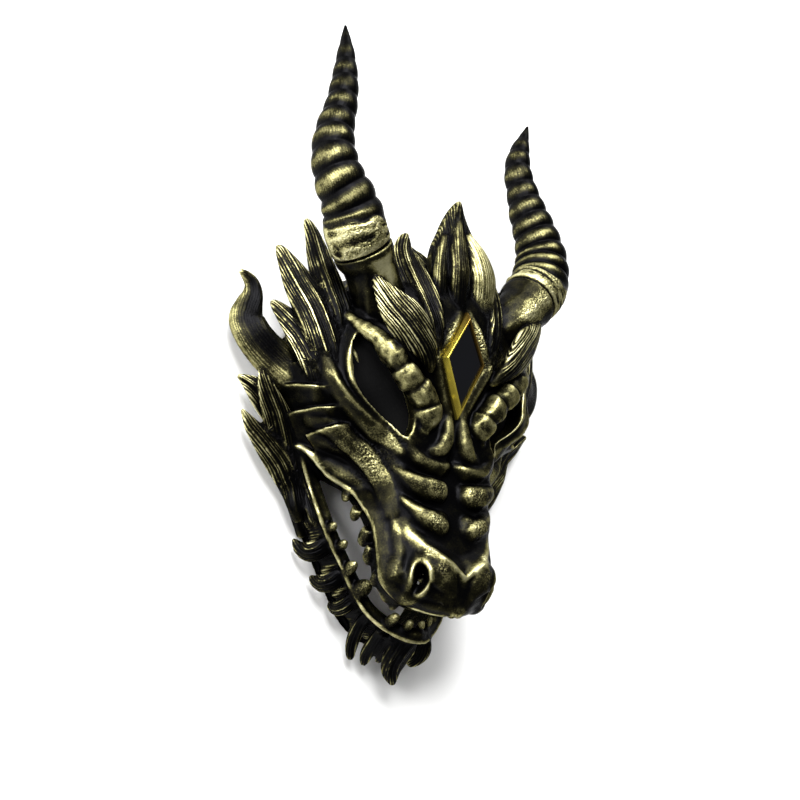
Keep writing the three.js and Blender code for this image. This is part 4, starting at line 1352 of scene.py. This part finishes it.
def makeGoldPaint():
    # gold lacquer on a smooth moulding, slightly uneven, mixed from a bright copy as painted highlight and a
    # dull copy as painted shade
    material, tree, shader = newMaterial("goldLacquer")
    position = addNode(tree, "ShaderNodeTexCoord").outputs["Object"]
    cloud = addNode(tree, "ShaderNodeTexNoise", None, {
        "Vector": position, "Scale": 1000 / lacquer["cloudSize"], "Detail": 3.0}).outputs["Fac"]
    gilt = addNode(tree, "ShaderNodeAttribute", {"attribute_name": "gilt"}).outputs["Fac"]
    paintedHighlight = addNode(tree, "ShaderNodeMath", {"operation": "MULTIPLY"}, {0: gilt, 1: lacquer["highlightShare"]})
    colour = addNode(tree, "ShaderNodeMix", {"data_type": "RGBA"}, {
        0: paintedHighlight.outputs[0], 6: linear(lacquer["paintedShade"]), 7: linear(lacquer["paintedHighlight"])}).outputs[2]
    tree.links.new(colour, shader.inputs["Base Color"])
    shader.inputs["Metallic"].default_value = lacquer["metallic"]
    rough = addNode(tree, "ShaderNodeMapRange", None, {
        "Value": cloud, "To Min": lacquer["rough"][0], "To Max": lacquer["rough"][1]}).outputs[0]
    tree.links.new(rough, shader.inputs["Roughness"])
    return material


resin = {"black": "#020203", "blueBlack": "#05060A", "waveSize": 16.7, "rough": 0.06, "specular": 0.35}


def makeBlackStone():
    # cast black resin, polished: near-black and glossy with faint waviness
    material, tree, shader = newMaterial("polishedBlackResin")
    position = addNode(tree, "ShaderNodeTexCoord").outputs["Object"]
    wave = addNode(tree, "ShaderNodeTexNoise", None, {
        "Vector": position, "Scale": 1000 / resin["waveSize"], "Detail": 2.0}).outputs["Fac"]
    colour = addNode(tree, "ShaderNodeMix", {"data_type": "RGBA"}, {
        0: wave, 6: linear(resin["black"]), 7: linear(resin["blueBlack"])}).outputs[2]
    tree.links.new(colour, shader.inputs["Base Color"])
    shader.inputs["Roughness"].default_value = resin["rough"]
    shader.inputs["Specular IOR Level"].default_value = resin["specular"]
    relief = addNode(tree, "ShaderNodeBump", None, {"Strength": 0.08, "Distance": 0.001, "Height": wave})
    tree.links.new(relief.outputs[0], shader.inputs["Normal"])
    return material


cloth = {"black": "#010101", "thread": "#050506", "threadPitch": 0.628, "rough": 0.9, "specular": 0.1}


def makeScreenCloth():
    # black polyester mesh: two sets of threads, matt
    material, tree, shader = newMaterial("blackPolyesterMesh")
    position = addNode(tree, "ShaderNodeTexCoord").outputs["Object"]
    # the node's bands are 2 pi / 20 of a unit apart at scale 1
    scale = 1000 * (2 * np.pi / 20) / cloth["threadPitch"]
    waves = [addNode(tree, "ShaderNodeTexWave", {"wave_type": "BANDS", "bands_direction": d}, {
        "Vector": position, "Scale": scale}).outputs["Fac"] for d in ("X", "Y")]
    weave = addNode(tree, "ShaderNodeMath", {"operation": "MULTIPLY"}, {0: waves[0], 1: waves[1]}).outputs[0]
    colour = addNode(tree, "ShaderNodeMix", {"data_type": "RGBA"}, {
        0: weave, 6: linear(cloth["black"]), 7: linear(cloth["thread"])}).outputs[2]
    tree.links.new(colour, shader.inputs["Base Color"])
    shader.inputs["Roughness"].default_value = cloth["rough"]
    shader.inputs["Specular IOR Level"].default_value = cloth["specular"]
    relief = addNode(tree, "ShaderNodeBump", None, {"Strength": 0.4, "Distance": 0.0004, "Height": weave})
    tree.links.new(relief.outputs[0], shader.inputs["Normal"])
    return material


foamPaint = makeFoamPaint("satinBlackFoamPaint")
goldLacquer, blackResin, screenCloth = makeGoldPaint(), makeBlackStone(), makeScreenCloth()
finishes = {
    "dragonFace": foamPaint, "hornRight": foamPaint, "hornLeft": foamPaint, "browStone": blackResin,
    "browStoneFrame": goldLacquer, "eyeScreenRight": screenCloth, "eyeScreenLeft": screenCloth,
}
for name, material in finishes.items():
    piece = bpy.data.objects[name]
    piece.data.materials.clear()
    piece.data.materials.append(material)
print("materials made")

# Studio: pale floor, soft lights and the photograph's view of the mask, looked down on as it lies
studio = {
    # the camera sees the bridge of the nose at this place in front of it, and its own axes lie this way
    "lens": 83.25, "bridge": Vector((0, -0.0499, 0.070)), "seenAt": Vector((0.0308, -0.02464, -1.036)),
    "right": Vector((0.775, 0.037, 0.630)), "up": Vector((-0.171, 0.973, 0.154)),
    "back": Vector((-0.608, -0.228, 0.761)),
    "floor": "#F7F7F6", "floorHalf": 3.0, "world": 0.22,
    # where each light stands, its size in metres and power in watts
    "lights": {
        "key": ((-0.75, 0.95, 1.4), 1.0, 66),
        "left": ((-1.35, 0.2, 0.65), 0.7, 22),
        "back": ((0.5, 1.5, 0.9), 0.7, 22),
    },
}


def makeStudio():
    bm = bmesh.new()
    bmesh.ops.create_grid(bm, x_segments=2, y_segments=2, size=studio["floorHalf"])
    floor = newPiece("floor", bm)
    material, tree, shader = newMaterial("palePaper")
    shader.inputs["Base Color"].default_value = linear(studio["floor"])
    shader.inputs["Roughness"].default_value = 0.9
    shader.inputs["Specular IOR Level"].default_value = 0.1
    floor.data.materials.append(material)

    world = bpy.data.worlds.new("studio")
    world.use_nodes = True
    world.node_tree.nodes["Background"].inputs["Color"].default_value = (1, 1, 1, 1)
    world.node_tree.nodes["Background"].inputs["Strength"].default_value = studio["world"]
    bpy.context.scene.world = world
    bpy.context.scene.view_settings.view_transform = "Standard"

    camera = bpy.data.objects.new("camera", bpy.data.cameras.new("camera"))
    bpy.context.scene.collection.objects.link(camera)
    turn = Matrix((studio["right"], studio["up"], studio["back"])).transposed()
    camera.matrix_world = Matrix.Translation(studio["bridge"] - turn @ studio["seenAt"]) @ turn.to_4x4()
    camera.data.lens = studio["lens"]
    camera.data.sensor_width = 36
    camera.data.clip_end = 20
    bpy.context.scene.camera = camera

    for name, (at, size, power) in studio["lights"].items():
        light = bpy.data.objects.new(name, bpy.data.lights.new(name, "AREA"))
        light.data.size = size
        light.data.energy = power
        light.location = at
        light.rotation_euler = (Vector((0, 0, 0.04)) - light.location).to_track_quat("-Z", "Y").to_euler()
        bpy.context.scene.collection.objects.link(light)


makeStudio()
print("studio made")
